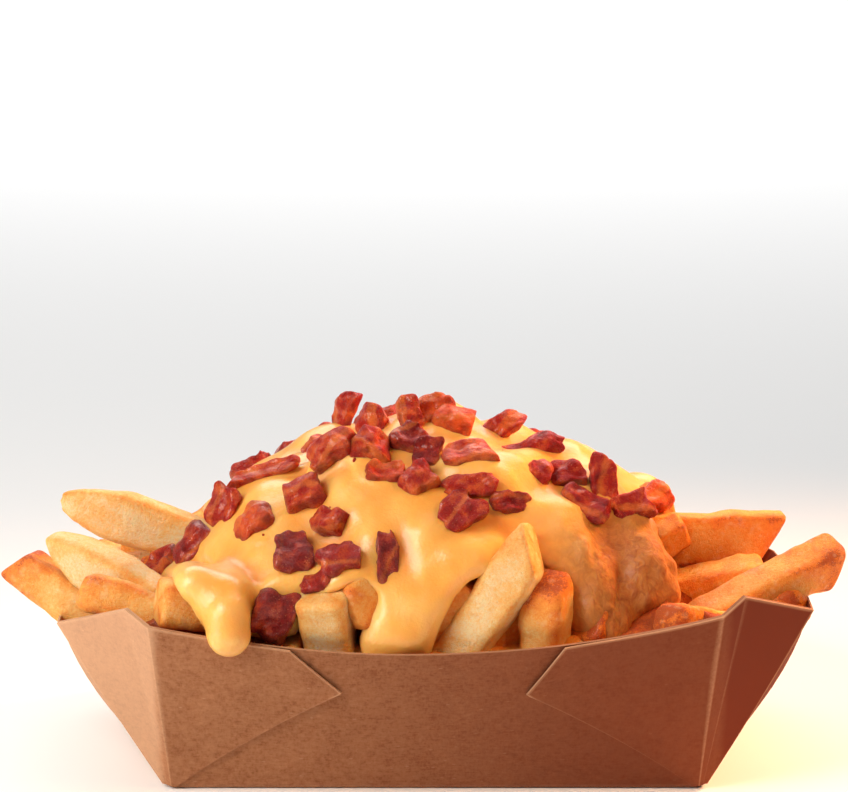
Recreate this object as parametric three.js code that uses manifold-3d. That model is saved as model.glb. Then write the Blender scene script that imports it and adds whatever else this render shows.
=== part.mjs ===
// Loaded fries: thick-cut fries heaped in a folded kraft board tray, under a poured cheese sauce with bacon bits.
// Millimetres, +Z up, +X to the right along the tray, -Y towards the side that is looked at.
// The origin is the centre of the tray's flat base, on the surface that the tray stands on.
import * as THREE from 'three';
import { mergeVertices } from 'three/addons/utils/BufferGeometryUtils.js';
import Module from 'manifold-3d';

const wasm = await Module();
wasm.setup();

// Driving dimensions of the tray
const BOARD = 0.6;
const GAP = 0.4;
const BASE = { halfLength: 77, halfDepth: 48, corner: 2 };
const RIM = {
  cornerX: 79, cornerY: 65, peakX: 85.5, peakY: 60.5, endX: 107, endY: 44,
  sideMiddle: 46.6, sideCorner: 55.2, peak: 59.3, endCorner: 50.2, endMiddle: 46,
};
const BULGE = { side: 3.4, end: 4.6, bow: 8 };
const SETTLE = { lean: 0.018, leanHeight: 50, dropFrom: 12, dropOver: 34, drop: 0.17 };
const FLAPS = {
  left: { rimX: 40, tipX: 26.4, tipHeight: 0.73 },
  right: { rimX: 35.6, tipX: 25.7, tipHeight: 0.7 },
};
const SIDE_COLUMNS = 6;
const END_COLUMNS = 4;
const WALL_ROWS = [0, 0.25, 0.5, 0.75];

// Driving dimensions of the mound that carries the sauce
const MOUND = {
  x: -6, z: 44, left: 80, right: 98, depth: 58, height: 48.5, plan: 2.2,
  profileLeft: 1.15, profileRight: 1.25, profileAcross: 1.7,
};
const CORE = { inset: 1, top: 0.86, rows: 10, columns: 28, pole: 78 };
const SAUCE = { thickness: 4.4, lip: 7, blend: 7, columns: 90, rows: 8, edgeRadius: 3.5, dripFacets: 12 };
const SUNK = { count: 16, halfLength: 19, width: 11, depth: 4.2 };
const TOLERANCE = { board: 0.06, food: 0.19 };

// Small maths
const radians = (degrees) => degrees * Math.PI / 180;
const mix = (a, b, t) => a + (b - a) * t;
const clamp = (v, low, high) => Math.min(high, Math.max(low, v));
const smooth = (v) => { const t = clamp(v, 0, 1); return t * t * (3 - 2 * t); };
const draw = (i, k) => { const v = Math.sin(i * 12.9898 + k * 78.233) * 43758.5453; return v - Math.floor(v); };
const vec = (p) => new THREE.Vector3(...p);

// Solids from vertices and triangles, and back to three.js
function solid(vertices, triangles) {
  return new wasm.Manifold(new wasm.Mesh({
    numProp: 3,
    vertProperties: new Float32Array(vertices.flatMap((v) => [v.x, v.y, v.z])),
    triVerts: new Uint32Array(triangles.flat()),
  }));
}

function largest(made) {
  return made.decompose().sort((a, b) => b.volume() - a.volume())[0];
}

function geometryOf(made) {
  const { vertProperties, triVerts, numProp } = made.getMesh();
  const positions = new Float32Array(vertProperties.length / numProp * 3);
  for (let i = 0; i < positions.length / 3; i++) {
    positions.set(vertProperties.subarray(i * numProp, i * numProp + 3), i * 3);
  }
  const geometry = new THREE.BufferGeometry();
  geometry.setAttribute('position', new THREE.BufferAttribute(positions, 3));
  geometry.setIndex(new THREE.BufferAttribute(new Uint32Array(triVerts), 1));
  return mergeVertices(geometry, 1e-4);
}

// A closed solid from a stack of rings of equal length, counter-clockwise from above, with a fan at each end.
function stack(rings, bottom, top) {
  const count = rings[0].length;
  const vertices = [...rings.flat(), bottom, top];
  const triangles = [];
  for (let r = 0; r + 1 < rings.length; r++) {
    for (let c = 0; c < count; c++) {
      const a = r * count + c;
      const b = r * count + (c + 1) % count;
      triangles.push([a, b, b + count], [a, b + count, a + count]);
    }
  }
  const last = (rings.length - 1) * count;
  for (let c = 0; c < count; c++) {
    const next = (c + 1) % count;
    triangles.push([rings.length * count, next, c], [rings.length * count + 1, last + c, last + next]);
  }
  return solid(vertices, triangles);
}

// The tray's wall. A column is a line up the wall, with its foot on the base and its head on the rim.
function sideHead(x) {
  const share = 1 - (x / RIM.cornerX) ** 2;
  return new THREE.Vector3(x, -RIM.cornerY - BULGE.side * share, mix(RIM.sideCorner, RIM.sideMiddle, share));
}

function wallColumns() {
  const quarter = [];
  const foot = { side: BASE.halfLength - BASE.corner, end: BASE.halfDepth - BASE.corner };
  for (let i = 0; i <= SIDE_COLUMNS; i++) {
    const x = mix(-RIM.cornerX, RIM.cornerX, i / SIDE_COLUMNS);
    quarter.push({ foot: new THREE.Vector3(x * foot.side / RIM.cornerX, -BASE.halfDepth, 0), head: sideHead(x), bow: 0 });
  }
  quarter.push({
    foot: new THREE.Vector3(BASE.halfLength - BASE.corner / 2, -BASE.halfDepth + BASE.corner / 2, 0),
    head: new THREE.Vector3(RIM.peakX, -RIM.peakY, RIM.peak), bow: 0,
  });
  for (let i = 0; i < END_COLUMNS; i++) {
    const y = mix(-1, 1, i / END_COLUMNS);
    const share = 1 - y * y;
    const bow = BULGE.bow * (1 - Math.abs(y) ** 3);
    quarter.push({
      foot: new THREE.Vector3(BASE.halfLength, y * foot.end, 0),
      head: new THREE.Vector3(RIM.endX + BULGE.end * share / 2, y * RIM.endY, mix(RIM.endCorner, RIM.endMiddle, share)),
      bow,
    });
  }
  quarter.push({
    foot: new THREE.Vector3(BASE.halfLength, foot.end, 0),
    head: new THREE.Vector3(RIM.endX, RIM.endY, RIM.endCorner), bow: 0,
  });
  quarter.push({
    foot: new THREE.Vector3(BASE.halfLength - BASE.corner / 2, BASE.halfDepth - BASE.corner / 2, 0),
    head: new THREE.Vector3(RIM.peakX, RIM.peakY, RIM.peak), bow: 0,
  });
  const turned = quarter.map(({ foot: f, head: h, bow }) => (
    { foot: new THREE.Vector3(-f.x, -f.y, 0), head: new THREE.Vector3(-h.x, -h.y, h.z), bow }));
  return [...quarter, ...turned];
}

const COLUMNS = wallColumns();

function rawWall(column, t) {
  const outward = new THREE.Vector3(Math.sign(column.head.x), 0, 0).multiplyScalar(column.bow * 4 * t * (1 - t));
  return column.foot.clone().lerp(column.head, t).add(t < 1 ? outward : new THREE.Vector3());
}

function wallPoint(index, t, offset) {
  const count = COLUMNS.length;
  const here = COLUMNS[(index + count) % count];
  const before = COLUMNS[(index + count - 1) % count];
  const after = COLUMNS[(index + 1) % count];
  const step = 0.02;
  const along = rawWall(after, t).sub(rawWall(before, t));
  const up = rawWall(here, Math.min(t, 1) + step).sub(rawWall(here, Math.min(t, 1) - step));
  return rawWall(here, t).addScaledVector(along.cross(up).normalize(), offset);
}

// The whole tray rises a little towards the right, and its far side stands lower.
function settled(made) {
  return made.warp((v) => {
    const rise = SETTLE.lean * v[0] * clamp(v[2] / SETTLE.leanHeight, 0, 1.2);
    v[2] = v[2] * (1 - SETTLE.drop * smooth((v[1] - SETTLE.dropFrom) / SETTLE.dropOver)) + rise;
  });
}

// The space inside an offset copy of the wall, from a floor height up to a share of the wall's height.
function trayLoft(offset, floor, reach, lidHeight) {
  const shares = [...WALL_ROWS, ...(reach > 1.05 ? [1] : []), reach];
  const rings = shares.map((t) => COLUMNS.map((_, i) => wallPoint(i, t, offset)));
  rings[0].forEach((p) => { p.z = floor; });
  return settled(stack(rings, new THREE.Vector3(0, 0, floor), new THREE.Vector3(0, 0, lidHeight)));
}

// A plate that follows a grid of points on the wall, from just inside its outer face to one board outside it.
function plate(inner, outer) {
  const rows = inner.length;
  const cols = inner[0].length;
  const half = rows * cols;
  const id = (layer, r, c) => layer * half + r * cols + c;
  const triangles = [];
  for (let r = 0; r + 1 < rows; r++) {
    for (let c = 0; c + 1 < cols; c++) {
      triangles.push([id(1, r, c), id(1, r, c + 1), id(1, r + 1, c + 1)], [id(1, r, c), id(1, r + 1, c + 1), id(1, r + 1, c)]);
      triangles.push([id(0, r, c), id(0, r + 1, c + 1), id(0, r, c + 1)], [id(0, r, c), id(0, r + 1, c), id(0, r + 1, c + 1)]);
    }
  }
  const edge = [];
  for (let c = 0; c + 1 < cols; c++) edge.push([0, c]);
  for (let r = 0; r + 1 < rows; r++) edge.push([r, cols - 1]);
  for (let c = cols - 1; c > 0; c--) edge.push([rows - 1, c]);
  for (let r = rows - 1; r > 0; r--) edge.push([r, 0]);
  edge.forEach(([r, c], i) => {
    const [r2, c2] = edge[(i + 1) % edge.length];
    triangles.push([id(0, r, c), id(0, r2, c2), id(1, r2, c2)], [id(0, r, c), id(1, r2, c2), id(1, r, c)]);
  });
  return solid([...inner.flat(), ...outer.flat()], triangles);
}

// One corner wrap: a second layer of board over the corner web, folded on over the long side as a glued flap.
// turn is 1 on the side that is looked at and -1 on the side behind it, and hand is 1 on the right and -1 on the left.
function cornerWrap(turn, hand) {
  const flap = hand > 0 ? FLAPS.right : FLAPS.left;
  const rows = [0.03, flap.tipHeight / 2, flap.tipHeight, 0.995];
  const across = 2;
  const grids = [-BOARD * 0.7, BOARD].map((offset) => rows.map((t) => {
    const reach = t < flap.tipHeight
      ? mix(BASE.halfLength - BASE.corner, flap.tipX, t / flap.tipHeight)
      : mix(flap.tipX, flap.rimX, (t - flap.tipHeight) / (1 - flap.tipHeight));
    const corner = mix(BASE.halfLength - BASE.corner, RIM.cornerX, t);
    const row = [];
    for (let i = 0; i <= across; i++) {
      const x = mix(Math.min(reach, corner), corner, i / across);
      const place = x / corner * SIDE_COLUMNS / 2 + SIDE_COLUMNS / 2;
      const low = Math.min(Math.floor(place), SIDE_COLUMNS - 1);
      row.push(wallPoint(low, t, offset).lerp(wallPoint(low + 1, t, offset), place - low));
    }
    row.push(wallPoint(SIDE_COLUMNS + 1, t, offset), wallPoint(SIDE_COLUMNS + 2, t, offset));
    return row;
  }));
  const placed = grids.map((grid) => grid.map((row) => {
    const moved = row.map((p) => new THREE.Vector3(hand * p.x, turn * p.y, p.z));
    return hand * turn > 0 ? moved : moved.reverse();
  }));
  return settled(plate(placed[0], placed[1]));
}

function trayShell(outside, inside, raise) {
  const outer = trayLoft(outside, -raise, 1 + raise / RIM.sideMiddle, RIM.sideMiddle);
  return outer.subtract(trayLoft(-inside, BOARD + raise, 1.14, RIM.peak + 4));
}

function traySolid() {
  const wraps = [[1, 1], [1, -1], [-1, 1], [-1, -1]].map(([turn, hand]) => cornerWrap(turn, hand));
  return wasm.Manifold.union([trayShell(0, BOARD, 0), ...wraps]);
}

// The mound: a superellipsoid, longer to the right, that falls away straighter along the tray than across it.
function moundGauge(p, grow) {
  const right = p.x > MOUND.x;
  const across = Math.abs(p.x - MOUND.x) / ((right ? MOUND.right : MOUND.left) + grow);
  const deep = Math.abs(p.y) / (MOUND.depth + grow);
  const tall = Math.abs(p.z - MOUND.z) / (MOUND.height + grow);
  const sideways = deep ** 2 / (across ** 2 + deep ** 2 + 1e-9);
  const profile = mix(right ? MOUND.profileRight : MOUND.profileLeft, MOUND.profileAcross, sideways);
  const plan = (across ** MOUND.plan + deep ** MOUND.plan) ** (1 / MOUND.plan);
  return (plan ** profile + tall ** profile) ** (1 / profile);
}

const CENTRE = new THREE.Vector3(MOUND.x, 0, MOUND.z);

function direction(azimuth, elevation) {
  const flat = Math.cos(elevation);
  const length = Math.cos(azimuth) > 0 ? MOUND.right : MOUND.left;
  return new THREE.Vector3(length * flat * Math.cos(azimuth), MOUND.depth * flat * Math.sin(azimuth),
    MOUND.height * Math.sin(elevation)).normalize();
}

function moundSolid(grow) {
  const rings = [];
  for (let r = 0; r <= CORE.rows; r++) {
    const elevation = radians(mix(-CORE.pole, CORE.pole, r / CORE.rows));
    const ring = [];
    for (let c = 0; c < CORE.columns; c++) {
      const d = direction(2 * Math.PI * c / CORE.columns, elevation);
      ring.push(CENTRE.clone().addScaledVector(d, 1 / moundGauge(CENTRE.clone().add(d), grow)));
    }
    rings.push(ring);
  }
  const pole = new THREE.Vector3(0, 0, MOUND.height + grow);
  return stack(rings, CENTRE.clone().sub(pole), CENTRE.clone().add(pole));
}

// Fries. Each runs from its root in the heap to its tip, with a width across, a height and a roll about its length.
// end says how the tip is cut: square, round or to a point, and slant how far its face leans. coated is the share
// of its length that lies under sauce.
const FRIES = [
  { name: 'left high', root: [-52, 0, 49], tip: [-110.5, 5, 71], width: 11, height: 14.5, roll: 8, end: 'point', bend: 1.8, slant: 0.35 },
  { name: 'left middle', root: [-68, -38, 44], tip: [-111, -22.5, 64], width: 11, height: 14.5, roll: -6, end: 'point', bend: 1.5, slant: 0.8 },
  { name: 'left low', root: [-84, -32, 37], tip: [-121, -20, 59], width: 11.5, height: 12, roll: 10, end: 'square', bend: -1, slant: -0.45 },
  { name: 'left front', root: [-64, -51, 46], tip: [-100, -43, 57], width: 12, height: 12, roll: 20, end: 'round', bend: 1 },
  { name: 'left chunk', root: [-38, -44, 50], tip: [-77, -56.5, 57.5], width: 13, height: 13, roll: 0, end: 'square', coated: 0.84, paired: true },
  { name: 'left back', root: [-60, 14, 44], tip: [-95, 22, 49], width: 12, height: 12, roll: 25, end: 'square' },
  { name: 'stub', root: [-29.5, -52, 30], tip: [-29.5, -57.5, 62.5], width: 14, height: 13, roll: -24, end: 'square', slant: 0.15, paired: true },
  { name: 'half sunk', root: [-31, -38, 53], tip: [-18, -59, 58.5], width: 13, height: 13, roll: 24, end: 'square', coated: 0.8, paired: true },
  { name: 'leaning', root: [-0.5, -53, 34], tip: [27.2, -50.5, 72.3], width: 12.5, height: 14.5, roll: -24, end: 'square', bend: 0.5, slant: 0.75, paired: true },
  { name: 'wedge', root: [31, -53, 34], tip: [31.5, -55.5, 63], width: 12.5, height: 11.5, roll: -38, end: 'square', slant: 0.5, paired: true },
  { name: 'behind leaning', root: [-8, -48, 34], tip: [9.5, -48, 59], width: 11, height: 11, roll: 0, end: 'square', paired: true },
  { name: 'behind wedge', root: [20, -46, 34], tip: [20.5, -49, 58], width: 12, height: 12, roll: 15, end: 'square', paired: true },
  { name: 'behind right chunk', root: [54, -44, 40], tip: [42, -53, 51], width: 12, height: 12, roll: 15, end: 'square' },
  { name: 'right chunk', root: [84, -38, 42], tip: [64, -56.5, 52.5], width: 12, height: 12, roll: 12, end: 'round', paired: true },
  { name: 'right high', root: [56, 0, 59], tip: [101, 5, 59.5], width: 10, height: 15.5, roll: -4, end: 'square', bend: 1.2, slant: 0.4 },
  { name: 'right low', root: [70, -34, 40], tip: [117.5, -18, 61.5], width: 12.5, height: 12.5, roll: 16, end: 'round', bend: 1.5 },
  { name: 'right middle', root: [64, -6, 46], tip: [97, -7, 48.5], width: 13, height: 11, roll: 20, end: 'square' },
  { name: 'right corner', root: [82, -14, 40], tip: [108, -30, 50], width: 12, height: 11, roll: 5, end: 'square' },
  { name: 'right edge', root: [56, -6, 57], tip: [74, -3, 64.5], width: 9, height: 9, roll: 20, end: 'square' },
  { name: 'right ridge', root: [50, 4, 60], tip: [67, 7, 72.5], width: 9, height: 9, roll: 35, end: 'square' },
  { name: 'left gap', root: [-64, -10, 46], tip: [-87, -5, 52.5], width: 11, height: 11, roll: 15, end: 'square' },
  { name: 'left under', root: [-72, 8, 40], tip: [-103, 4, 46], width: 12, height: 11, roll: 32, end: 'round' },
  { name: 'left over', root: [-54, 27, 50], tip: [-88, 16, 52], width: 11, height: 12, roll: 12, end: 'square', bend: 1 },
  { name: 'right gap', root: [66, 22, 44], tip: [97, 22, 49], width: 12, height: 11, roll: 40, end: 'square' },
  { name: 'right under', root: [74, -8, 38], tip: [105, -6, 45.5], width: 12, height: 12, roll: 10, end: 'square' },
  { name: 'right over', root: [56, 15, 50], tip: [88, 27, 53], width: 11, height: 11, roll: 25, end: 'round', bend: 1 },
  { name: 'back right', root: [62, 40, 40], tip: [97, 30, 46], width: 12, height: 12, roll: 15, end: 'square', bend: 1 },
  { name: 'back right edge', root: [70, 44, 42], tip: [98, 40, 49], width: 12, height: 12, roll: 30, end: 'round', bend: 1 },
  { name: 'back left', root: [-64, 42, 40], tip: [-98, 34, 46], width: 12, height: 12, roll: 20, end: 'square', bend: 1 },
  { name: 'back left edge', root: [-66, 46, 44], tip: [-92, 42, 50], width: 11, height: 12, roll: 35, end: 'square' },
];
const TIP_SHAPE = { square: [0.98, 0.9], round: [0.92, 0.62], point: [0.7, 0.34] };
const STATIONS = [0, 0.5, 0.9, 1];
const SLANT_SHARE = [0, 0, 0.7, 1];
const CHAMFER = 0.46;

// The side behind gets the paired fries again, turned half way round the tray and each a little different.
function allFries() {
  const behind = FRIES.filter((f) => f.paired).map((f, i) => {
    const size = mix(0.92, 1.06, draw(i, 1));
    const turned = ([x, y, z], k) => [-x + mix(-3, 3, draw(i, 2 + k)), -y, z + mix(-0.5, 1, draw(i, 5 + k))];
    return { ...f, name: `${f.name} behind`, root: turned(f.root, 0), tip: turned(f.tip, 0), width: f.width * size,
      height: f.height * size, roll: f.roll + mix(-20, 20, draw(i, 8)) };
  });
  return [...FRIES, ...behind];
}

const HEAP = allFries();

// Long fries under the sauce, laid round the mound by a rule. They only shape the sauce.
function sunkFries() {
  const made = [];
  for (let i = 0; i < SUNK.count; i++) {
    const azimuth = radians(360 * (i + 0.5 * draw(i, 11)) / SUNK.count);
    const elevation = radians(mix(26, 62, draw(i, 12)));
    const d = direction(azimuth, elevation);
    const middle = CENTRE.clone().addScaledVector(d, 1 / moundGauge(CENTRE.clone().add(d), 0) - SUNK.depth);
    const slope = new THREE.Vector3(Math.sin(azimuth), -Math.cos(azimuth), 0);
    const fall = new THREE.Vector3(Math.cos(azimuth), Math.sin(azimuth), -0.8);
    const run = slope.multiplyScalar(mix(-1, 1, draw(i, 13))).add(fall.multiplyScalar(0.8)).normalize().multiplyScalar(SUNK.halfLength);
    made.push({ root: middle.clone().sub(run).toArray(), tip: middle.clone().add(run).toArray(), width: SUNK.width,
      height: SUNK.width, roll: 45 * draw(i, 14), end: 'square', coated: 1 });
  }
  return made;
}

function fryFrame(f) {
  const root = vec(f.root);
  const axis = vec(f.tip).sub(root);
  const length = axis.length();
  axis.normalize();
  const level = new THREE.Vector3(0, 0, 1).cross(axis).normalize();
  const rise = axis.clone().cross(level);
  const turn = radians(f.roll);
  const side = level.clone().multiplyScalar(Math.cos(turn)).addScaledVector(rise, Math.sin(turn));
  return { root, axis, length, side, top: axis.clone().cross(side) };
}

function frySolid(f, grow) {
  const { root, axis, length, side, top } = fryFrame(f);
  const shape = [0.9, 1, ...TIP_SHAPE[f.end]];
  const section = [[1, -1 + CHAMFER], [1, 1 - CHAMFER], [1 - CHAMFER, 1], [-1 + CHAMFER, 1],
    [-1, 1 - CHAMFER], [-1, -1 + CHAMFER], [-1 + CHAMFER, -1], [1 - CHAMFER, -1]];
  const at = (u) => root.clone().addScaledVector(axis, mix(-grow, length + grow, u))
    .addScaledVector(top, (f.bend ?? 0) * 4 * u * (1 - u));
  const rings = STATIONS.map((u, i) => section.map(([a, b]) => {
    const up = b * (f.height / 2 * shape[i] + grow);
    return at(u).addScaledVector(side, a * (f.width / 2 * shape[i] + grow)).addScaledVector(top, up)
      .addScaledVector(axis, (f.slant ?? 0) * SLANT_SHARE[i] * up);
  }));
  return stack(rings, at(0).addScaledVector(axis, -1), at(1).addScaledVector(axis, 1.2));
}

// The bare core: the mound above the rim, and below it the tray's space filled to its walls.
function coreSolid(grow) {
  const filling = trayLoft(-CORE.inset + grow, BOARD + GAP - grow, CORE.top + grow / RIM.sideMiddle, 42 + grow);
  return wasm.Manifold.union([filling, moundSolid(grow)]);
}

// Distance from a point to what carries the sauce: the mound and the coated fries, run together softly.
const SUPPORT = [...HEAP.filter((f) => f.coated), ...sunkFries()].map((f) => {
  const frame = fryFrame(f);
  return { ...f, ...frame, length: frame.length * f.coated };
});

function softMin(a, b, reach) {
  const h = clamp(0.5 + 0.5 * (b - a) / reach, 0, 1);
  return mix(b, a, h) - reach * h * (1 - h);
}

function supportDistance(p) {
  const gauge = moundGauge(p, 0);
  let distance = p.distanceTo(CENTRE) * (1 - 1 / gauge);
  for (const f of SUPPORT) {
    const local = p.clone().sub(f.root);
    const along = local.dot(f.axis) - f.length / 2;
    const out = [Math.abs(along) - f.length / 2 + SAUCE.edgeRadius,
      Math.abs(local.dot(f.side)) - f.width / 2 + SAUCE.edgeRadius,
      Math.abs(local.dot(f.top)) - f.height / 2 + SAUCE.edgeRadius];
    const beyond = Math.hypot(...out.map((v) => Math.max(v, 0)));
    distance = softMin(distance, beyond + Math.min(Math.max(...out), 0) - SAUCE.edgeRadius, SAUCE.blend);
  }
  return distance;
}

function surfaceReach(d, thickness) {
  let far = 130;
  while (far > 15 && supportDistance(CENTRE.clone().addScaledVector(d, far)) > thickness) far -= 1.5;
  let low = far;
  let high = far + 1.5;
  for (let i = 0; i < 8; i++) {
    const middle = (low + high) / 2;
    if (supportDistance(CENTRE.clone().addScaledVector(d, middle)) > thickness) high = middle;
    else low = middle;
  }
  return low;
}

// The sauce's lower edge: heights along each side of the tray, by place along it. The front and back lines run
// along x and the end lines along y. Each side rules round its own middle direction.
const EDGES = [
  { middle: 270, axis: 'x', line: [[-130, 67], [-76, 66.5], [-73.7, 64.5], [-65.3, 62], [-63.8, 55], [-62.5, 52],
    [-50.5, 52], [-49.5, 59.8], [-38.2, 60.9], [-25.2, 62], [-15.4, 60.5], [-13.4, 57], [-13.2, 45], [0.5, 45], [3.2, 54],
    [5, 60.5], [10.3, 65.5], [14.5, 65.4], [29.3, 66.9], [40.2, 61.4], [45, 52], [47.5, 49], [57, 49], [62.5, 51.9],
    [71.7, 56.1], [78, 60], [130, 60]] },
  { middle: 90, axis: 'x', line: [[-130, 61], [-76, 59], [-65, 53], [-58, 49], [-47, 48], [-43, 60], [-28, 66],
    [-12, 65.5], [-5, 60], [-1, 47], [15, 46], [18, 57], [27, 60.5], [40, 61], [49, 60], [51, 51], [58, 47],
    [64, 50], [66, 61], [75, 62], [82, 63.5], [130, 63]] },
  { middle: 180, axis: 'y', line: [[-130, 61], [-50, 62.5], [-35, 63.5], [-20, 60], [-8, 66], [8, 67], [22, 62],
    [40, 60], [130, 60]] },
  { middle: 0, axis: 'y', line: [[-130, 58], [-48, 58], [-38, 60.4], [-25, 65.5], [-12, 69.4], [4, 70.7], [18, 66],
    [34, 61], [130, 60]] },
];

// Runs of sauce that hang lower than its edge, one of them over the near rim: places with a radius at each.
const DRIPS = [
  { path: [[-57.5, -46, 60], [-57.3, -60, 60.5], [-57, -65.3, 57], [-56.8, -66.6, 51.8]], radii: [5, 5.2, 5.6, 6.1] },
  { path: [[58, 44, 60], [57, 58, 57], [56.5, 63, 51.5]], radii: [4.6, 4.8, 5.4] },
];

function heightAt(line, place) {
  const next = line.findIndex(([at]) => at > place);
  const [from, to] = [line[next - 1], line[next]];
  return mix(from[1], to[1], (place - from[0]) / (to[0] - from[0]));
}

// How far a place lies above the sauce's edge.
function aboveEdge(p, degrees) {
  let total = 0;
  for (const { middle, axis, line } of EDGES) {
    const away = Math.abs((degrees - middle + 540) % 360 - 180);
    const weight = 1 - smooth((away - 30) / 30);
    if (weight > 0) total += weight * (p.z - heightAt(line, p[axis]));
  }
  return total;
}

function edgeElevation(degrees) {
  const azimuth = radians(degrees);
  let low = radians(-12);
  let high = radians(75);
  for (let i = 0; i < 12; i++) {
    const middle = (low + high) / 2;
    const d = direction(azimuth, middle);
    const p = CENTRE.clone().addScaledVector(d, surfaceReach(d, SAUCE.thickness));
    if (aboveEdge(p, degrees) > 0) high = middle;
    else low = middle;
  }
  return (low + high) / 2;
}

function dripSolid({ path, radii }, grow) {
  const balls = path.map((at, i) => wasm.Manifold.sphere(radii[i] + grow, SAUCE.dripFacets).translate(at));
  return wasm.Manifold.union(balls.slice(1).map((ball, i) => wasm.Manifold.hull([balls[i], ball])));
}

// The sauce as a skin over everything: rows from the crown down to the edge, where it rounds off, then back inside.
function sauceBlob(grow) {
  const rings = [];
  for (let r = 0; r <= SAUCE.rows + 2; r++) rings.push([]);
  for (let c = 0; c < SAUCE.columns; c++) {
    const degrees = 360 * c / SAUCE.columns;
    const azimuth = radians(degrees);
    const edge = edgeElevation(degrees);
    for (let r = 0; r <= SAUCE.rows; r++) {
      const share = 1 - (1 - r / SAUCE.rows) ** 1.25;
      const elevation = mix(edge, radians(84), share);
      const d = direction(azimuth, elevation);
      const carried = surfaceReach(d, 0);
      const inward = clamp((elevation - edge) * carried / SAUCE.lip, 0, 1);
      const lip = Math.sqrt(1 - (1 - inward) ** 2);
      const reach = mix(carried - 0.4, surfaceReach(d, SAUCE.thickness), lip) + grow;
      rings[r + 2].push(CENTRE.clone().addScaledVector(d, reach));
    }
    const d = direction(azimuth, edge);
    const inner = surfaceReach(d, 0) - 6;
    rings[1].push(CENTRE.clone().addScaledVector(d, inner));
    rings[0].push(CENTRE.clone().addScaledVector(direction(azimuth, edge * 0.5), inner * 0.5));
  }
  const crown = surfaceReach(new THREE.Vector3(0, 0, 1), SAUCE.thickness) + grow;
  const skin = stack(rings, CENTRE.clone().add(new THREE.Vector3(0, 0, 2)), CENTRE.clone().add(new THREE.Vector3(0, 0, crown)));
  return wasm.Manifold.union([skin, ...DRIPS.map((drip) => dripSolid(drip, grow))]);
}

// Bacon bits: a mark that is carried on to the sauce along the view, then length, width and thickness, a turn in
// the sauce's surface and a tip out of it. behind says that the side behind gets one like it.
const BITS = [
  { at: [-27, 3, 94], size: [13, 7, 4], turn: 30, tip: 62 },
  { at: [-35, 2, 86], size: [9, 6, 4], turn: 45, tip: 10 },
  { at: [-50, -2, 79.6], size: [22, 5.5, 3.5], turn: 4, tip: 4 },
  { at: [-60.5, -5, 70], size: [11, 10, 4], turn: 60, tip: 28 },
  { at: [-68.5, -21, 64], size: [13, 10, 4.5], turn: 40, tip: 10 },
  { at: [-77, -27, 59.5], size: [9, 9, 6], turn: 0, tip: 10 },
  { at: [-37, -27, 79.4], size: [11, 10, 8], turn: 10, tip: 8, behind: true },
  { at: [-51, -31, 73], size: [12, 9, 7], turn: 35, tip: 5, behind: true },
  { at: [-29, -38, 75], size: [10, 8, 7], turn: -20, tip: 10, behind: true },
  { at: [-40, -45, 67.3], size: [13, 10, 6], turn: 105, tip: 6, behind: true },
  { at: [-26, -49, 66.7], size: [11, 10, 8], turn: 15, tip: 0, behind: true },
  { at: [-32, -52, 62], size: [9, 5.5, 5], turn: 5, tip: 0, behind: true },
  { at: [-14, -49, 66.6], size: [16, 6, 4], turn: 96, tip: 12, behind: true },
  { at: [-45, -56, 54.5], size: [14, 12, 8], turn: 60, tip: 0, behind: true },
  { at: [-29.7, -8, 88.6], size: [14, 10, 7], turn: 20, tip: 8 },
  { at: [-19, -7, 88.7], size: [11, 10, 9], turn: -5, tip: 0 },
  { at: [-7.5, -8, 91], size: [10, 9, 7], turn: 50, tip: 10 },
  { at: [-2, -17, 89], size: [9, 8, 6], turn: 80, tip: 14 },
  { at: [-14.3, -23, 85.6], size: [11, 6.5, 5], turn: 0, tip: 0, behind: true },
  { at: [-5, -28, 83.5], size: [10, 9, 8], turn: 40, tip: 10 },
  { at: [-17.2, 6, 93], size: [9, 8, 6], turn: 70, tip: 25 },
  { at: [-7.3, 4, 95], size: [10, 7, 6], turn: 110, tip: 35 },
  { at: [-1, 3, 95.9], size: [12, 10, 6], turn: 20, tip: 30 },
  { at: [5.6, 3, 93.2], size: [12, 10, 7], turn: -15, tip: 12 },
  { at: [9.6, -15, 89], size: [15, 9, 5], turn: 10, tip: 0, behind: true },
  { at: [19, 1, 91.9], size: [14, 7, 4], turn: 35, tip: 20 },
  { at: [29.3, -4, 87.3], size: [16, 7, 4.5], turn: 10, tip: 10 },
  { at: [29, -22, 84.6], size: [8, 7, 5], turn: 75, tip: 10, behind: true },
  { at: [38.5, -19, 83], size: [10, 9, 6], turn: 0, tip: 8 },
  { at: [42.5, -30, 77.5], size: [14, 10, 5], turn: -25, tip: 8, behind: true },
  { at: [48, -13, 79.5], size: [13, 8, 4], turn: 100, tip: 30 },
  { at: [55, -27, 76.6], size: [12, 8, 5], turn: 20, tip: 10, behind: true },
  { at: [10, -30, 83.6], size: [14, 7, 6], turn: 5, tip: 5 },
  { at: [6.7, -40, 77.8], size: [12, 10, 6], turn: 50, tip: 10, behind: true },
  { at: [21, -34, 80.1], size: [11, 6, 5], turn: 5, tip: 0, behind: true },
  { at: [63, -10, 74.5], size: [11, 8, 6], turn: 30, tip: 15 },
];

const LONG_BIT = 12.5;
const VIEW = { from: [-3.1, -802.3, 289.1], reach: 90, step: 0.5, facing: 0.8 };

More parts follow.
